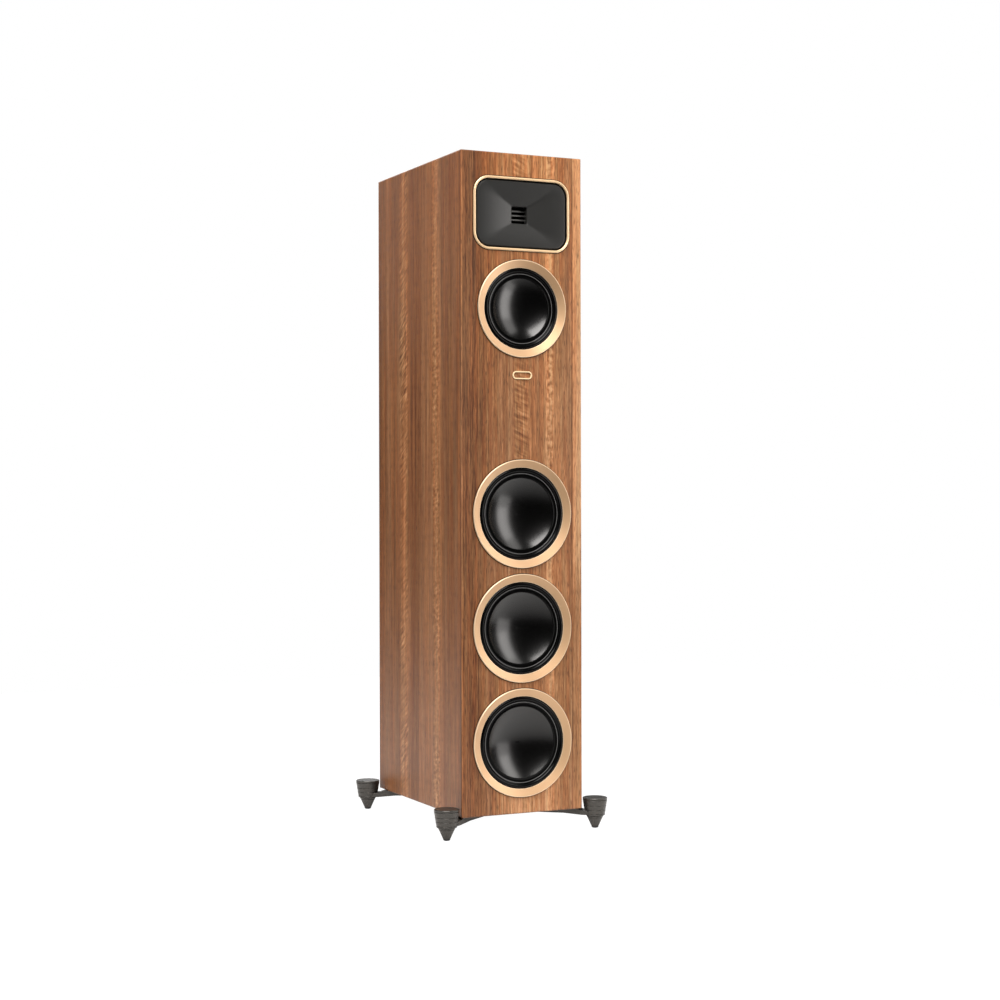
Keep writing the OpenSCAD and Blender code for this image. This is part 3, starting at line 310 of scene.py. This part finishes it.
class Veneer:
    """Walnut veneer on one board of the cabinet. across and along name its axes; bands is its tone plan
    and grain its layers. figure(veneer, tone) adds what only this face has. raw says where bare board
    shows, and the last mask where the board is painted black, partly real black paint and partly painted
    shade in its grooves."""

    def __init__(self, name, board, across, along, bands, grain=SIDE_GRAIN, figure=None,
                 raw=None, black_and_shade=None):
        s = self.s = Shader(name)
        third = ({"X", "Y", "Z"} - {across, along}).pop()
        self.along = s.axis(along)
        self.third = s.axis(third)
        # On the face this adds nothing, and it leads the grain on round the board's edges
        low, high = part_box(board)
        index = "XYZ".index(third)
        below = s.math("SUBTRACT", s.math("ABSOLUTE", self.third), max(-low[index], high[index]))
        straight = s.math("ADD", s.axis(across), below)
        wander = s.noise(self.vector(s.math("MULTIPLY", straight, 9.0), 1.7), 1.0, 2)
        self.across = s.math("ADD", straight, s.math("MULTIPLY", s.math("SUBTRACT", wander, 0.5), 0.010))

        tone = self.plan(bands)
        for across_scale, along_scale, weight in grain:
            tone = self.lift(tone, s.math("SUBTRACT", self.grain(across_scale, along_scale), 0.5), weight)
        if figure:
            tone = figure(self, tone)
        colour = s.ramp(tone, [
            (0.02, rgb(0.054, 0.018, 0.007)),
            (0.26, rgb(0.125, 0.046, 0.017)),
            (0.48, rgb(0.200, 0.082, 0.031)),
            (0.70, rgb(0.290, 0.132, 0.056)),
            (0.98, rgb(0.440, 0.235, 0.115)),
        ])
        red = s.remap(self.grain(150, 3.0), 0.35, 0.65, 0.0, 1.0, smooth=True)
        cast = s.mix(red, rgb(0.93, 1.02, 1.05), rgb(1.06, 0.96, 0.90))
        colour = s.mix(1.0, colour, cast, "MULTIPLY")
        if along == "Z":
            golden = s.remap(self.along, 0.55, 1.05, 0.0, 1.0, smooth=True)
            colour = s.mix(golden, colour, s.mix(1.0, colour, rgb(1.11, 1.02, 0.89), "MULTIPLY"))
        ash = s.remap(self.grain(40, 0.8), 0.48, 0.68, 0.0, 0.26, smooth=True)
        colour = s.mix(ash, colour, s.mix(tone, rgb(0.064, 0.031, 0.016), rgb(0.320, 0.195, 0.115)))
        dashes = self.grain(1000, 75, 1, 0.4)
        pores = s.remap(dashes, 0.33, 0.41, 1.0, 0.0)
        colour = s.mix(s.math("MULTIPLY", pores, 0.55), colour, rgb(0.030, 0.013, 0.007))
        fibre = self.grain(1150, 13, 2, 0.6)
        relief = s.math("SUBTRACT", s.math("MULTIPLY", fibre, 0.5), s.math("MULTIPLY", pores, 0.5))
        rough = s.remap(tone, 0.2, 0.8, 0.50, 0.40)
        if raw:
            speck = s.noise(s.coords, 900, 4, 0.75)
            board = s.mix(speck, rgb(0.28, 0.19, 0.11), rgb(0.50, 0.37, 0.23))
            inside = raw(s)
            colour = s.mix(inside, colour, board)
            rough = s.remap(inside, 0, 1, 0.45, 0.9)
        # Black paint in the baffle's grooves and rebates, partly painted shade down in them
        if black_and_shade:
            colour = s.mix(black_and_shade(s), colour, rgb(0.008, 0.007, 0.006))
        s.set(
            Base_Color=colour,
            Roughness=rough,
            Specular_IOR_Level=0.25,
            Normal=s.bump(relief, 0.00010, 0.5),
        )
        self.material = s.material

    def vector(self, x, along_scale):
        along = self.s.math("MULTIPLY", self.along, along_scale)
        return self.s.add("ShaderNodeCombineXYZ", {"X": x, "Y": along, "Z": self.third}).outputs["Vector"]

    def grain(self, across_scale, along_scale, detail=2, rough=0.5):
        x = self.s.math("MULTIPLY", self.across, across_scale)
        return self.s.noise(self.vector(x, along_scale), 1.0, detail, rough)

    def plan(self, bands):
        low, high = bands[0][0], bands[-1][0]
        place = self.s.remap(self.across, low, high)
        stops = [((x - low)/(high - low), rgb(t, t, t)) for x, t in bands]
        colour = self.s.ramp(place, stops)
        colour.node.color_ramp.interpolation = "EASE"
        return self.s.add("ShaderNodeSeparateColor", {"Color": colour}).outputs["Red"]

    def lift(self, tone, amount, weight=1.0):
        return self.s.math("MULTIPLY_ADD", amount, weight, tone)

    def across_mask(self, place, half_width, core=0.35):
        """1 on a line along the grain, falling to 0 at half_width from it."""
        off = self.s.math("ABSOLUTE", self.s.math("SUBTRACT", self.across, place))
        return self.s.remap(off, half_width*core, half_width, 1.0, 0.0, smooth=True)

    def along_mask(self, start, full):
        return self.s.remap(self.along, start, full, 0.0, 1.0, smooth=True)

    def line(self, tone, place, half_width, amount):
        return self.lift(tone, self.across_mask(place, half_width), amount)

    def dashes(self, angle, pitch, length):
        """Noise drawn out into dashes that fall by angle as they go across."""
        s = self.s
        lean = math.radians(angle)
        v = s.math("MULTIPLY_ADD", self.across, math.sin(lean),
                   s.math("MULTIPLY", self.along, math.cos(lean)))
        u = s.math("MULTIPLY_ADD", self.across, math.cos(lean),
                   s.math("MULTIPLY", self.along, -math.sin(lean)))
        return s.noise(s.add("ShaderNodeCombineXYZ", {
            "X": s.math("MULTIPLY", u, 1.6/length),
            "Y": s.math("MULTIPLY", v, 1.6/pitch),
            "Z": self.third,
        }).outputs["Vector"], 1.0, 1, 0.5)

    def streak(self, tone, place, half_width, angle, pitch, length, weight, patch=None):
        """A streak of curled figure: slanting dashes, stronger in some places along it."""
        s = self.s
        mask = self.across_mask(place, half_width)
        if patch is None:
            patch = s.remap(self.grain(12, 7.0), 0.38, 0.62, 0.35, 1.0, smooth=True)
        flecks = s.math("MULTIPLY", s.math("SUBTRACT", self.dashes(angle, pitch, length), 0.48), weight)
        return self.lift(tone, s.math("MULTIPLY", s.math("MULTIPLY", flecks, mask), patch))


def front_figure(v, tone):
    s = v.s
    low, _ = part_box("front_baffle")
    # Curl down the middle, strongest between the woofers and the midrange driver and near the top
    between = s.math("MULTIPLY", v.along_mask(0.57, 0.64), v.along_mask(0.79, 0.74))
    patch = s.math("ADD", s.math("MAXIMUM", between, v.along_mask(1.04, 1.08)), 0.25, clamp=True)
    tone = v.streak(tone, -0.002, 0.019, 24, 0.0085, 0.040, 1.05, patch)
    tone = v.streak(tone, 0.051, 0.009, 0, 0.012, 0.010, 1.6)
    tone = v.line(tone, 0.0455, 0.0016, 0.14)
    tone = v.line(tone, 0.0180, 0.0016, -0.12)
    tone = v.line(tone, 0.0910, 0.0016, -0.20)
    # Fine pinstripes left of the middle
    wave = s.math("COSINE", s.math("MULTIPLY", v.across, 2*math.pi/0.0063))
    tone = v.lift(tone, s.math("MULTIPLY", wave, v.across_mask(-0.030, 0.022, 0.6)), 0.06)
    # Pale strip along the right edge, weaker low down
    strip = s.math("MULTIPLY", v.across_mask(0.1005, 0.0085, 0.75), v.along_mask(0.35, 0.50))
    tone = v.lift(tone, strip, 0.26)
    # Paler sapwood at the top and the bottom of the middle
    tone = v.lift(tone, s.math("MULTIPLY", v.across_mask(0.0, 0.060, 0.5), v.along_mask(1.02, 1.05)), 0.12)
    tone = v.lift(tone, s.math("MULTIPLY", v.across_mask(0.0, 0.060, 0.5), v.along_mask(0.095, 0.07)), 0.18)
    # Painted highlight: the bevelled left edge is painted paler, as if it caught the light
    return v.lift(tone, s.math("LESS_THAN", s.axis("X"), low.x + 0.0020), 0.24)


def side_figure(v, tone):
    low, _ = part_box("left_side_panel")
    tone = v.streak(tone, 0.061, 0.025, 33, 0.0080, 0.034, 1.7)
    tone = v.streak(tone, -0.077, 0.022, 12, 0.0100, 0.016, 1.2)
    # Painted shade: a darker strip along the side's front edge, next to the rounded corner
    edge = v.s.math("LESS_THAN", v.s.axis("Y"), low.y + 0.004)
    return v.lift(tone, edge, -0.10)


# Where bare board shows: behind the face of the baffle, and on the other panels' inner faces
FACE_DEPTH = 0.003
WALL = 0.0175
# The baffle's grooves and rebates, painted black, partly as painted shade down in them: how deep they start
# and end, and the outer margin left alone
CUT_START, CUT_END = 0.0005, 0.0095
CUT_MARGIN = 0.0035


def behind_front(s):
    low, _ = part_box("front_baffle")
    return s.math("GREATER_THAN", s.axis("Y"), low.y + FACE_DEPTH)


def rebate_black_and_shade(s):
    """Black paint in the grooves and rebates that are cut into the baffle's face, clear of its outer edges;
    it also stands in for the shade down in them, as painted shade.
    """
    low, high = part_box("front_baffle")
    middle_z, half_z = (low.z + high.z)/2, (high.z - low.z)/2
    y = s.axis("Y")
    past_start = s.math("GREATER_THAN", y, low.y + CUT_START)
    cut = s.math("MULTIPLY", past_start, s.math("LESS_THAN", y, low.y + CUT_END))
    across = s.math("LESS_THAN", s.math("ABSOLUTE", s.axis("X")), high.x - CUT_MARGIN)
    off = s.math("ABSOLUTE", s.math("SUBTRACT", s.axis("Z"), middle_z))
    up = s.math("LESS_THAN", off, half_z - CUT_MARGIN)
    return s.math("MULTIPLY", cut, s.math("MULTIPLY", across, up))


def inside_cabinet(s):
    _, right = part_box("right_side_panel")
    floor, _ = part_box("bottom_panel")
    _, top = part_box("top_panel")
    _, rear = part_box("rear_panel")
    x = s.math("LESS_THAN", s.math("ABSOLUTE", s.axis("X")), right.x - WALL)
    y = s.math("LESS_THAN", s.axis("Y"), rear.y - WALL)
    above = s.math("GREATER_THAN", s.axis("Z"), floor.z + WALL)
    below = s.math("LESS_THAN", s.axis("Z"), top.z - WALL)
    return s.math("MULTIPLY", s.math("MULTIPLY", x, y), s.math("MULTIPLY", above, below))


# Colour of the highlight lines painted on the trim rings' lip and window edges
HIGHLIGHT_GOLD = (0.70, 0.52, 0.34)


def satin_metal(name, colour, rough=0.3, grain=1400, wear=0.08, edge=0.0003, metal=1.0, coat=0.0,
                painted_shade=None, painted_highlight=None):
    """Metal with a satin finish. One mask says where painted shade leaves it black, down in a gap, and
    the other where a painted highlight makes it brighter."""
    s = Shader(name)
    fine = s.noise(s.coords, grain, 2, 0.6)
    cloud = s.noise(s.coords, 24, 3, 0.5)
    darker = tuple(c*(1 - wear) for c in colour)
    tint = s.mix(cloud, rgb(*colour), rgb(*darker))
    # Painted shade: near black where the mask says the metal lies down in a gap
    if painted_shade:
        tint = s.mix(painted_shade(s), tint, rgb(0.006, 0.006, 0.006))
    # Painted highlight: brighter gold where the mask says, as fine lines catching the light
    if painted_highlight:
        tint = s.mix(painted_highlight(s), tint, rgb(*HIGHLIGHT_GOLD))
    s.set(
        Base_Color=tint,
        Metallic=metal,
        Roughness=s.remap(cloud, 0.3, 0.7, rough - 0.03, rough + 0.05),
        Coat_Weight=coat,
        Coat_Roughness=0.35,
        Normal=s.bump(fine, 0.00002, 0.6, s.rounded(edge)),
    )
    return s.material


def from_axis(s, z, pitch=None):
    """Distance from an axis along Y at height z, or from the nearest of a row of axes a pitch apart."""
    height = s.axis("Z")
    if pitch:
        height = s.math("WRAP", height, z + pitch/2, z - pitch/2)
    up = s.math("SUBTRACT", height, z)
    across = s.axis("X")
    return s.math("SQRT", s.math("ADD", s.math("MULTIPLY", across, across), s.math("MULTIPLY", up, up)))


def circle_line(s, distance, radius, half_width):
    off = s.math("ABSOLUTE", s.math("SUBTRACT", distance, radius))
    return s.remap(off, half_width*0.4, half_width, 1.0, 0.0, smooth=True)


# A trim ring's band, from its outer edge to its window, the half widths of the painted highlight lines
# on both, and that of the painted grey highlight line on a driver's rubber edge
BAND_WIDTH = 13*MM
LIP_INSET, LIP_HALF = 0.7*MM, 1.1*MM
WINDOW_HALF = 0.9*MM
BEAD_HIGHLIGHT_HALF = 0.75*MM


def ring_edge_highlights(ring, driver, pitch=None):
    """Where highlights are painted on a trim ring's outer lip and inner edge, brighter than its band."""
    low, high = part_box(ring)
    cone_low, cone_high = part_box(driver + "_cone")
    radius = (high.x - low.x)/2
    window = radius - BAND_WIDTH

    def mask(s):
        distance = from_axis(s, (cone_low.z + cone_high.z)/2, pitch)
        outer = circle_line(s, distance, radius - LIP_INSET, LIP_HALF)
        return s.math("MAXIMUM", outer, circle_line(s, distance, window, WINDOW_HALF))
    return mask


def surround_rubber(driver, bead_r):
    """Black rubber with a fine grey line painted along its raised bead, a painted highlight."""
    s = Shader(driver + "_surround_rubber")
    fine = s.noise(s.coords, 1600, 3, 0.6)
    bead = circle_line(s, from_axis(s, middle(driver + "_cone").z), bead_r, BEAD_HIGHLIGHT_HALF)
    s.set(
        Base_Color=s.mix(bead, rgb(0.0008, 0.0008, 0.0008), rgb(0.10, 0.10, 0.10)),
        Roughness=s.remap(fine, 0.3, 0.7, 0.16, 0.26),
        Specular_IOR_Level=0.13,
        Normal=s.bump(fine, 0.000004, 0.7),
    )
    return s.material


def below_face(s):
    """1 behind the plane of the baffle's face."""
    return s.math("GREATER_THAN", s.axis("Y"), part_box("front_baffle")[0].y)


def moulded(name, colour, rough=0.45, grain=1800, depth=0.00003, metallic=0.0, coat=0.0, shine=0.5,
            edge=None):
    """Moulded plastic, rubber or coated metal with a fine surface texture; edge softens its edges."""
    s = Shader(name)
    fine = s.noise(s.coords, grain, 3, 0.6)
    cloud = s.noise(s.coords, 30, 2, 0.5)
    lighter = tuple(min(1.0, c*1.18 + 0.0003) for c in colour)
    s.set(
        Base_Color=s.mix(cloud, rgb(*colour), rgb(*lighter)),
        Metallic=metallic,
        Roughness=s.remap(fine, 0.3, 0.7, rough - 0.04, rough + 0.06),
        Specular_IOR_Level=shine,
        Coat_Weight=coat,
        Coat_Roughness=0.08,
        Normal=s.bump(fine, depth, 0.7, s.rounded(edge) if edge else None),
    )
    return s.material


def by_depth(name, node, zones):
    """Several finishes on one node, by depth from its front: (share of depth where it ends, colour,
    metallic, roughness)."""
    low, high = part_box(node)
    s = Shader(name)
    place = s.remap(s.axis("Y"), low.y, high.y)
    _, colour, metallic, rough = zones[0]
    colour = rgb(*colour)
    for (end, *_), (_, next_colour, next_metallic, next_rough) in zip(zones, zones[1:]):
        behind = s.math("GREATER_THAN", place, end)
        colour = s.mix(behind, colour, rgb(*next_colour))
        metallic = s.math("MULTIPLY_ADD", behind, s.math("SUBTRACT", next_metallic, metallic), metallic)
        rough = s.math("MULTIPLY_ADD", behind, s.math("SUBTRACT", next_rough, rough), rough)
    fine = s.noise(s.coords, 900, 2, 0.6)
    tint = s.remap(fine, 0.3, 0.7, 0.85, 1.1)
    shade = s.add("ShaderNodeCombineColor", {"Red": tint, "Green": tint, "Blue": tint})
    s.set(
        Base_Color=s.mix(0.7, colour, shade.outputs["Color"], "MULTIPLY"),
        Metallic=metallic,
        Roughness=rough,
        Normal=s.bump(fine, 0.00003, 0.6),
    )
    return s.material


def fibreboard():
    s = Shader("raw_fibreboard")
    speck = s.noise(s.coords, 900, 4, 0.75)
    s.set(
        Base_Color=s.ramp(speck, [(0.3, rgb(0.30, 0.20, 0.11)), (0.7, rgb(0.52, 0.38, 0.24))]),
        Roughness=0.9,
        Normal=s.bump(speck, 0.0002, 0.6),
    )
    return s.material


def fleece():
    s = Shader("wadding_fleece")
    tuft = s.noise(s.coords, 260, 5, 0.7, 0.8)
    s.set(
        Base_Color=s.ramp(tuft, [(0.3, rgb(0.62, 0.61, 0.57)), (0.7, rgb(0.88, 0.87, 0.83))]),
        Roughness=0.95,
        Sheen_Weight=0.4,
        Normal=s.bump(tuft, 0.0015, 0.7),
    )
    return s.material


def woven(name, colour_a, colour_b, pitch):
    """Impregnated cloth of a spider."""
    s = Shader(name)
    warp = s.math("SINE", s.math("MULTIPLY", s.axis("X"), math.tau/pitch))
    weft = s.math("SINE", s.math("MULTIPLY", s.axis("Z"), math.tau/pitch))
    weave = s.math("MULTIPLY", warp, weft)
    s.set(
        Base_Color=s.mix(s.remap(weave, -1, 1), rgb(*colour_a), rgb(*colour_b)),
        Roughness=0.8,
        Normal=s.bump(weave, 0.0001, 0.8),
    )
    return s.material


def circuit_board():
    s = Shader("solder_resist")
    cell = s.add("ShaderNodeTexBrick", {
        "Vector": s.stretched((1, 1, 0)), "Scale": 22.0, "Mortar Size": 0.018,
        "Color1": rgb(0.018, 0.10, 0.045), "Color2": rgb(0.022, 0.12, 0.055),
        "Mortar": rgb(0.09, 0.22, 0.10),
    })
    s.set(
        Base_Color=cell.outputs["Color"],
        Roughness=0.3,
        Normal=s.bump(cell.outputs["Fac"], 0.00005, 0.5),
    )
    return s.material


GOLD = (0.512, 0.320, 0.176)
STEEL = (0.32, 0.32, 0.33)
FERRITE = (0.06, 0.06, 0.065)
MATERIALS = {
    "walnut_veneer": lambda: Veneer("walnut_side", "left_side_panel", "Y", "Z", SIDE_BANDS, SIDE_GRAIN,
                                    side_figure, inside_cabinet).material,
    "fibreboard": fibreboard,
    "wadding": fleece,
    "moulded_black": lambda: moulded("moulded_black", (0.015, 0.015, 0.0142), 0.42, shine=0.25),
    "plate_steel": lambda: satin_metal("painted_plate", (0.16, 0.16, 0.155), 0.42),
    "film": lambda: satin_metal("pleated_film", (0.035, 0.030, 0.022), 0.35),
    "ferrite": lambda: moulded("ferrite", FERRITE, 0.75, 700),
    "basket_black": lambda: moulded("basket_black", (0.016, 0.016, 0.016), 0.5, 1500, 0.00004),
    "cone_black": lambda: moulded("cone_black", (0.0002, 0.0002, 0.0002), 0.21, 2500, 0.000003),
    "roll_rubber": lambda: moulded("roll_rubber", (0.0008, 0.0008, 0.0008), 0.20, 1600, 0.000004, shine=0.20),
    "gold_plate": lambda: satin_metal("gold_plate", (0.86, 0.62, 0.26), 0.2),
    "red_plastic": lambda: moulded("red_plastic", (0.42, 0.012, 0.010), 0.28, 800, 0.00001, coat=0.5),
    "black_plastic": lambda: moulded("black_plastic", (0.012, 0.012, 0.012), 0.28, 800, 0.00001, coat=0.5),
    "circuit_board": circuit_board,
    "coil_copper": lambda: satin_metal("enamelled_copper", (0.68, 0.30, 0.13), 0.35, 600),
    "capacitor_film": lambda: moulded("capacitor_wrap", (0.62, 0.52, 0.30), 0.35, 400),
    "cement": lambda: moulded("white_cement", (0.70, 0.69, 0.64), 0.85, 500, 0.0001),
    "wire_jacket": lambda: moulded("wire_jacket", (0.32, 0.02, 0.015), 0.45),
    "foot_metal": lambda: moulded("foot_coat", (0.050, 0.047, 0.043), 0.36, 2200, 0.00003, 0.7, edge=0.0006),
    "foot_rubber": lambda: moulded("foot_rubber", (0.012, 0.012, 0.012), 0.65, 1400),
    "screw_steel": lambda: satin_metal("blackened_steel", (0.09, 0.09, 0.09), 0.35),
}


def paint_nodes():
    made = {slot: build() for slot, build in MATERIALS.items()}
    level = Veneer("walnut_level", "top_panel", "Y", "X", LEVEL_BANDS, raw=inside_cabinet).material
    special = {
        "top_panel": level,
        "bottom_panel": level,
        "front_baffle": Veneer("walnut_front", "front_baffle", "X", "Z", FRONT_BANDS, FRONT_GRAIN,
                               front_figure, behind_front, rebate_black_and_shade).material,
        "rear_panel": Veneer("walnut_rear", "rear_panel", "X", "Z", REAR_BANDS, raw=inside_cabinet).material,
    }
    pitch = middle("woofer_2_cone").z - middle("woofer_1_cone").z
    rings = [("midrange_trim_ring", "midrange", None), ("woofer_trim_rings", "woofer_1", pitch)]
    # Each ring gets painted highlight lines on its outer lip and inner edge
    for ring, driver, step in rings:
        special[ring] = satin_metal(ring + "_gold", GOLD, 0.44, edge=0.0004, metal=0.55, coat=0.25,
                                    painted_highlight=ring_edge_highlights(ring, driver, step))
    special["waveguide"] = moulded("waveguide_satin", (0.012, 0.012, 0.0115), 0.37, shine=0.42, edge=0.0035)
    # The trim is painted near black behind the baffle's face, painted shade down in the gap round the
    # waveguide
    special["waveguide_trim"] = satin_metal("trim_gold", (0.74, 0.52, 0.30), 0.34, edge=0.0006, metal=0.35,
                                            coat=0.5, painted_shade=below_face)
    special["badge"] = satin_metal("badge_gold", (0.90, 0.70, 0.42), 0.35, edge=0.0005, metal=0.3, coat=0.6)
    for driver in DRIVERS:
        special[driver + "_motor"] = by_depth(driver + "_motor_finish", driver + "_motor", [
            (0.20, STEEL, 1.0, 0.35), (0.79, FERRITE, 0.0, 0.7), (1.0, STEEL, 1.0, 0.35)])
        special[driver + "_voice_coil"] = by_depth(driver + "_coil_finish", driver + "_voice_coil", [
            (0.62, (0.75, 0.52, 0.20), 0.0, 0.4), (1.0, (0.62, 0.26, 0.10), 1.0, 0.35)])
    for part in frame["record"]["subparts"]:
        name = part["node"]
        node = frame["nodes"][name]
        node.data.materials.clear()
        node.data.materials.append(special.get(name) or made[part["material_slot"]])
    return made


# ------------------------------------------------------------------ driver edges and spiders

ROUND_STEPS = 160


def lathe(name, profile, node, material):
    """Turns a closed profile of (radius, distance out from the baffle's face) about a driver's axis."""
    axis = middle(node)
    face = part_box("front_baffle")[0].y
    bm = bmesh.new()
    rings = []
    for k in range(ROUND_STEPS):
        a = math.tau*k/ROUND_STEPS
        rings.append([bm.verts.new((axis.x + r*math.cos(a), face - out, axis.z + r*math.sin(a)))
                      for r, out in profile])
    for k in range(ROUND_STEPS):
        here, there = rings[k], rings[(k + 1) % ROUND_STEPS]
        for i in range(len(profile)):
            j = (i + 1) % len(profile)
            bm.faces.new((here[i], here[j], there[j], there[i])).smooth = True
    bmesh.ops.recalc_face_normals(bm, faces=bm.faces)
    mesh = bpy.data.meshes.new(name)
    bm.to_mesh(mesh)
    bm.free()
    mesh.materials.append(material)
    return link_object(name, mesh)


def bend_by_radius(piece):
    """Bakes the piece's placement into its mesh; it does not bend with the cone."""
    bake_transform(piece)


def arc(r, out, radius, start, end, steps):
    """Points along an arc in a profile, angles in degrees from straight out along the radius."""
    found = []
    for i in range(steps + 1):
        a = math.radians(start + (end - start)*i/steps)
        found.append((r + radius*math.cos(a), out + radius*math.sin(a)))
    return found


def make_surround(driver):
    """Rubber edge: a raised collar glued to the cone's rim, a half roll and a flat rim on the frame."""
    node = driver + "_suspension"
    low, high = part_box(node)
    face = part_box("front_baffle")[0].y
    outer = (high.x - low.x)/2
    cone_low, cone_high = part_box(driver + "_cone")
    seat = face - cone_low.y
    glue_width, rim_width = 7.5*MM, 4.7*MM
    seat_r = (cone_high.x - cone_low.x)/2 - glue_width
    window = outer - rim_width
    roll_r = 3.7*MM
    roll_middle = window - 0.4*MM - roll_r
    collar_out = roll_middle - roll_r - 1.6*MM
    collar_in = seat_r + 0.5*MM
    glue = 0.1*MM
    base = seat + glue
    top = base + 1.15*MM
    bead = 0.55*MM
    back = 0.75*MM
    profile = [(collar_in, base), (collar_in + 0.1*MM, base + 0.3*MM), (collar_in + 0.5*MM, base + 0.5*MM)]
    profile += [(collar_in + 1.0*MM, base + 0.35*MM), (collar_out - 2.6*MM, base + 0.35*MM)]
    profile += arc(collar_out - bead, top - bead, bead, 150, 10, 8)
    profile += [(collar_out + 0.1*MM, base + 0.2*MM)]
    profile += arc(roll_middle, base, roll_r, 176, 4, 20)
    profile += [(window, base + 0.75*MM), (outer, base + 0.75*MM), (outer, base)]
    profile += [(window - 0.2*MM, base)]
    profile += arc(roll_middle, base - 0.05*MM, roll_r - back, 10, 170, 14)
    profile += [(collar_out - 0.6*MM, base)]
    rubber = surround_rubber(driver, collar_out - bead)
    piece = lathe(driver + "_surround", profile, node, rubber)
    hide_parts(node)
    bend_by_radius(piece)


def make_spider(driver, cloth):
    """Corrugated cloth disc between the coil's former and the frame's shelf."""
    node = driver + "_suspension"
    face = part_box("front_baffle")[0].y
    coil_low, coil_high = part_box(driver + "_voice_coil")
    _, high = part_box(node)
    winding, clearance = 0.8*MM, 0.1*MM
    inner = (coil_high.x - coil_low.x)/2 - winding + clearance
    motor_low, motor_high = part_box(driver + "_motor")
    outer = (motor_high.x - motor_low.x)/2 - 1*MM
    shelf = face - high.y
    thick = 0.55*MM
    middle_out = shelf + 1.0*MM
    swing = 0.75*MM
    ripples = 5
    start, end = inner + 3*MM, outer - 5*MM
    front = [(inner, middle_out + 2.4*MM), (inner + 0.5*MM, middle_out + 2.4*MM),
             (inner + 0.8*MM, middle_out + 0.7*MM), (inner + 1.6*MM, middle_out + thick/2)]
    back = [(inner, middle_out - thick/2), (inner + 1.6*MM, middle_out - thick/2)]
    steps = ripples*10
    for i in range(steps + 1):
        t = i/steps
        r = start + (end - start)*t
        fade = min(1.0, 6*t, 6*(1 - t))
        wave = swing*math.sin(math.tau*ripples*t)*fade
        front.append((r, middle_out + wave + thick/2))
        back.append((r, middle_out + wave - thick/2))
    front += [(outer - 3.4*MM, shelf + thick), (outer, shelf + thick)]
    back += [(outer - 3.4*MM, shelf + 0.02*MM), (outer, shelf + 0.02*MM)]
    piece = lathe(driver + "_spider", front + back[::-1], node, cloth)
    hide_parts(node)
    bend_by_radius(piece)


# ------------------------------------------------------------------ damping wadding

def make_wadding(made):
    """A block of fleece with soft edges and a lumpy face, held against the cabinet's back."""
    node = "damping_wadding"
    low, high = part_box(node)
    width, depth, height = high - low
    centre = (low + high)/2
    bm = bmesh.new()
    bmesh.ops.create_grid(bm, x_segments=70, y_segments=120, size=1.0)
    extruded = bmesh.ops.extrude_face_region(bm, geom=list(bm.faces))
    rear = {v for v in extruded["geom"] if isinstance(v, bmesh.types.BMVert)}
    for v in bm.verts:
        u, w = v.co.x, v.co.y
        edge = max(abs(u)**5, abs(w)**9)
        puff = math.sqrt(max(0.0, 1 - edge))
        lumps = 0.55*math.sin(9*u + 3*math.sin(5*w)) * math.sin(14*w + 2*math.sin(4*u))
        lumps += 0.30*math.sin(23*u + 1.7) * math.sin(31*w + 0.6)
        lumps += 0.15*math.sin(51*u*(1 + 0.1*w)) * math.sin(63*w)
        squeeze = 1 - 0.05*(1 - puff)
        if v in rear:
            y = high.y - 1.2*MM*(1 - puff)
        else:
            y = high.y - max(depth*puff*(0.86 + 0.10*lumps), 2*MM)
        v.co = Vector((centre.x + u*width/2*squeeze, y, centre.z + w*height/2*squeeze))
    bmesh.ops.recalc_face_normals(bm, faces=bm.faces)
    for face in bm.faces:
        face.smooth = True
    mesh = bpy.data.meshes.new("wadding_block")
    bm.to_mesh(mesh)
    bm.free()
    mesh.materials.append(made["wadding"])
    piece = link_object("wadding_block", mesh)
    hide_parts(node)
    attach(piece, "cabinet")


make_camera()
make_world()
make_lights()
make_floor()
MADE = paint_nodes()
CLOTH = woven("spider_cloth", (0.62, 0.40, 0.12), (0.45, 0.27, 0.07), 0.0009)
for DRIVER in DRIVERS:
    make_surround(DRIVER)
    make_spider(DRIVER, CLOTH)
make_wadding(MADE)

bpy.context.scene.view_settings.view_transform = "Standard"
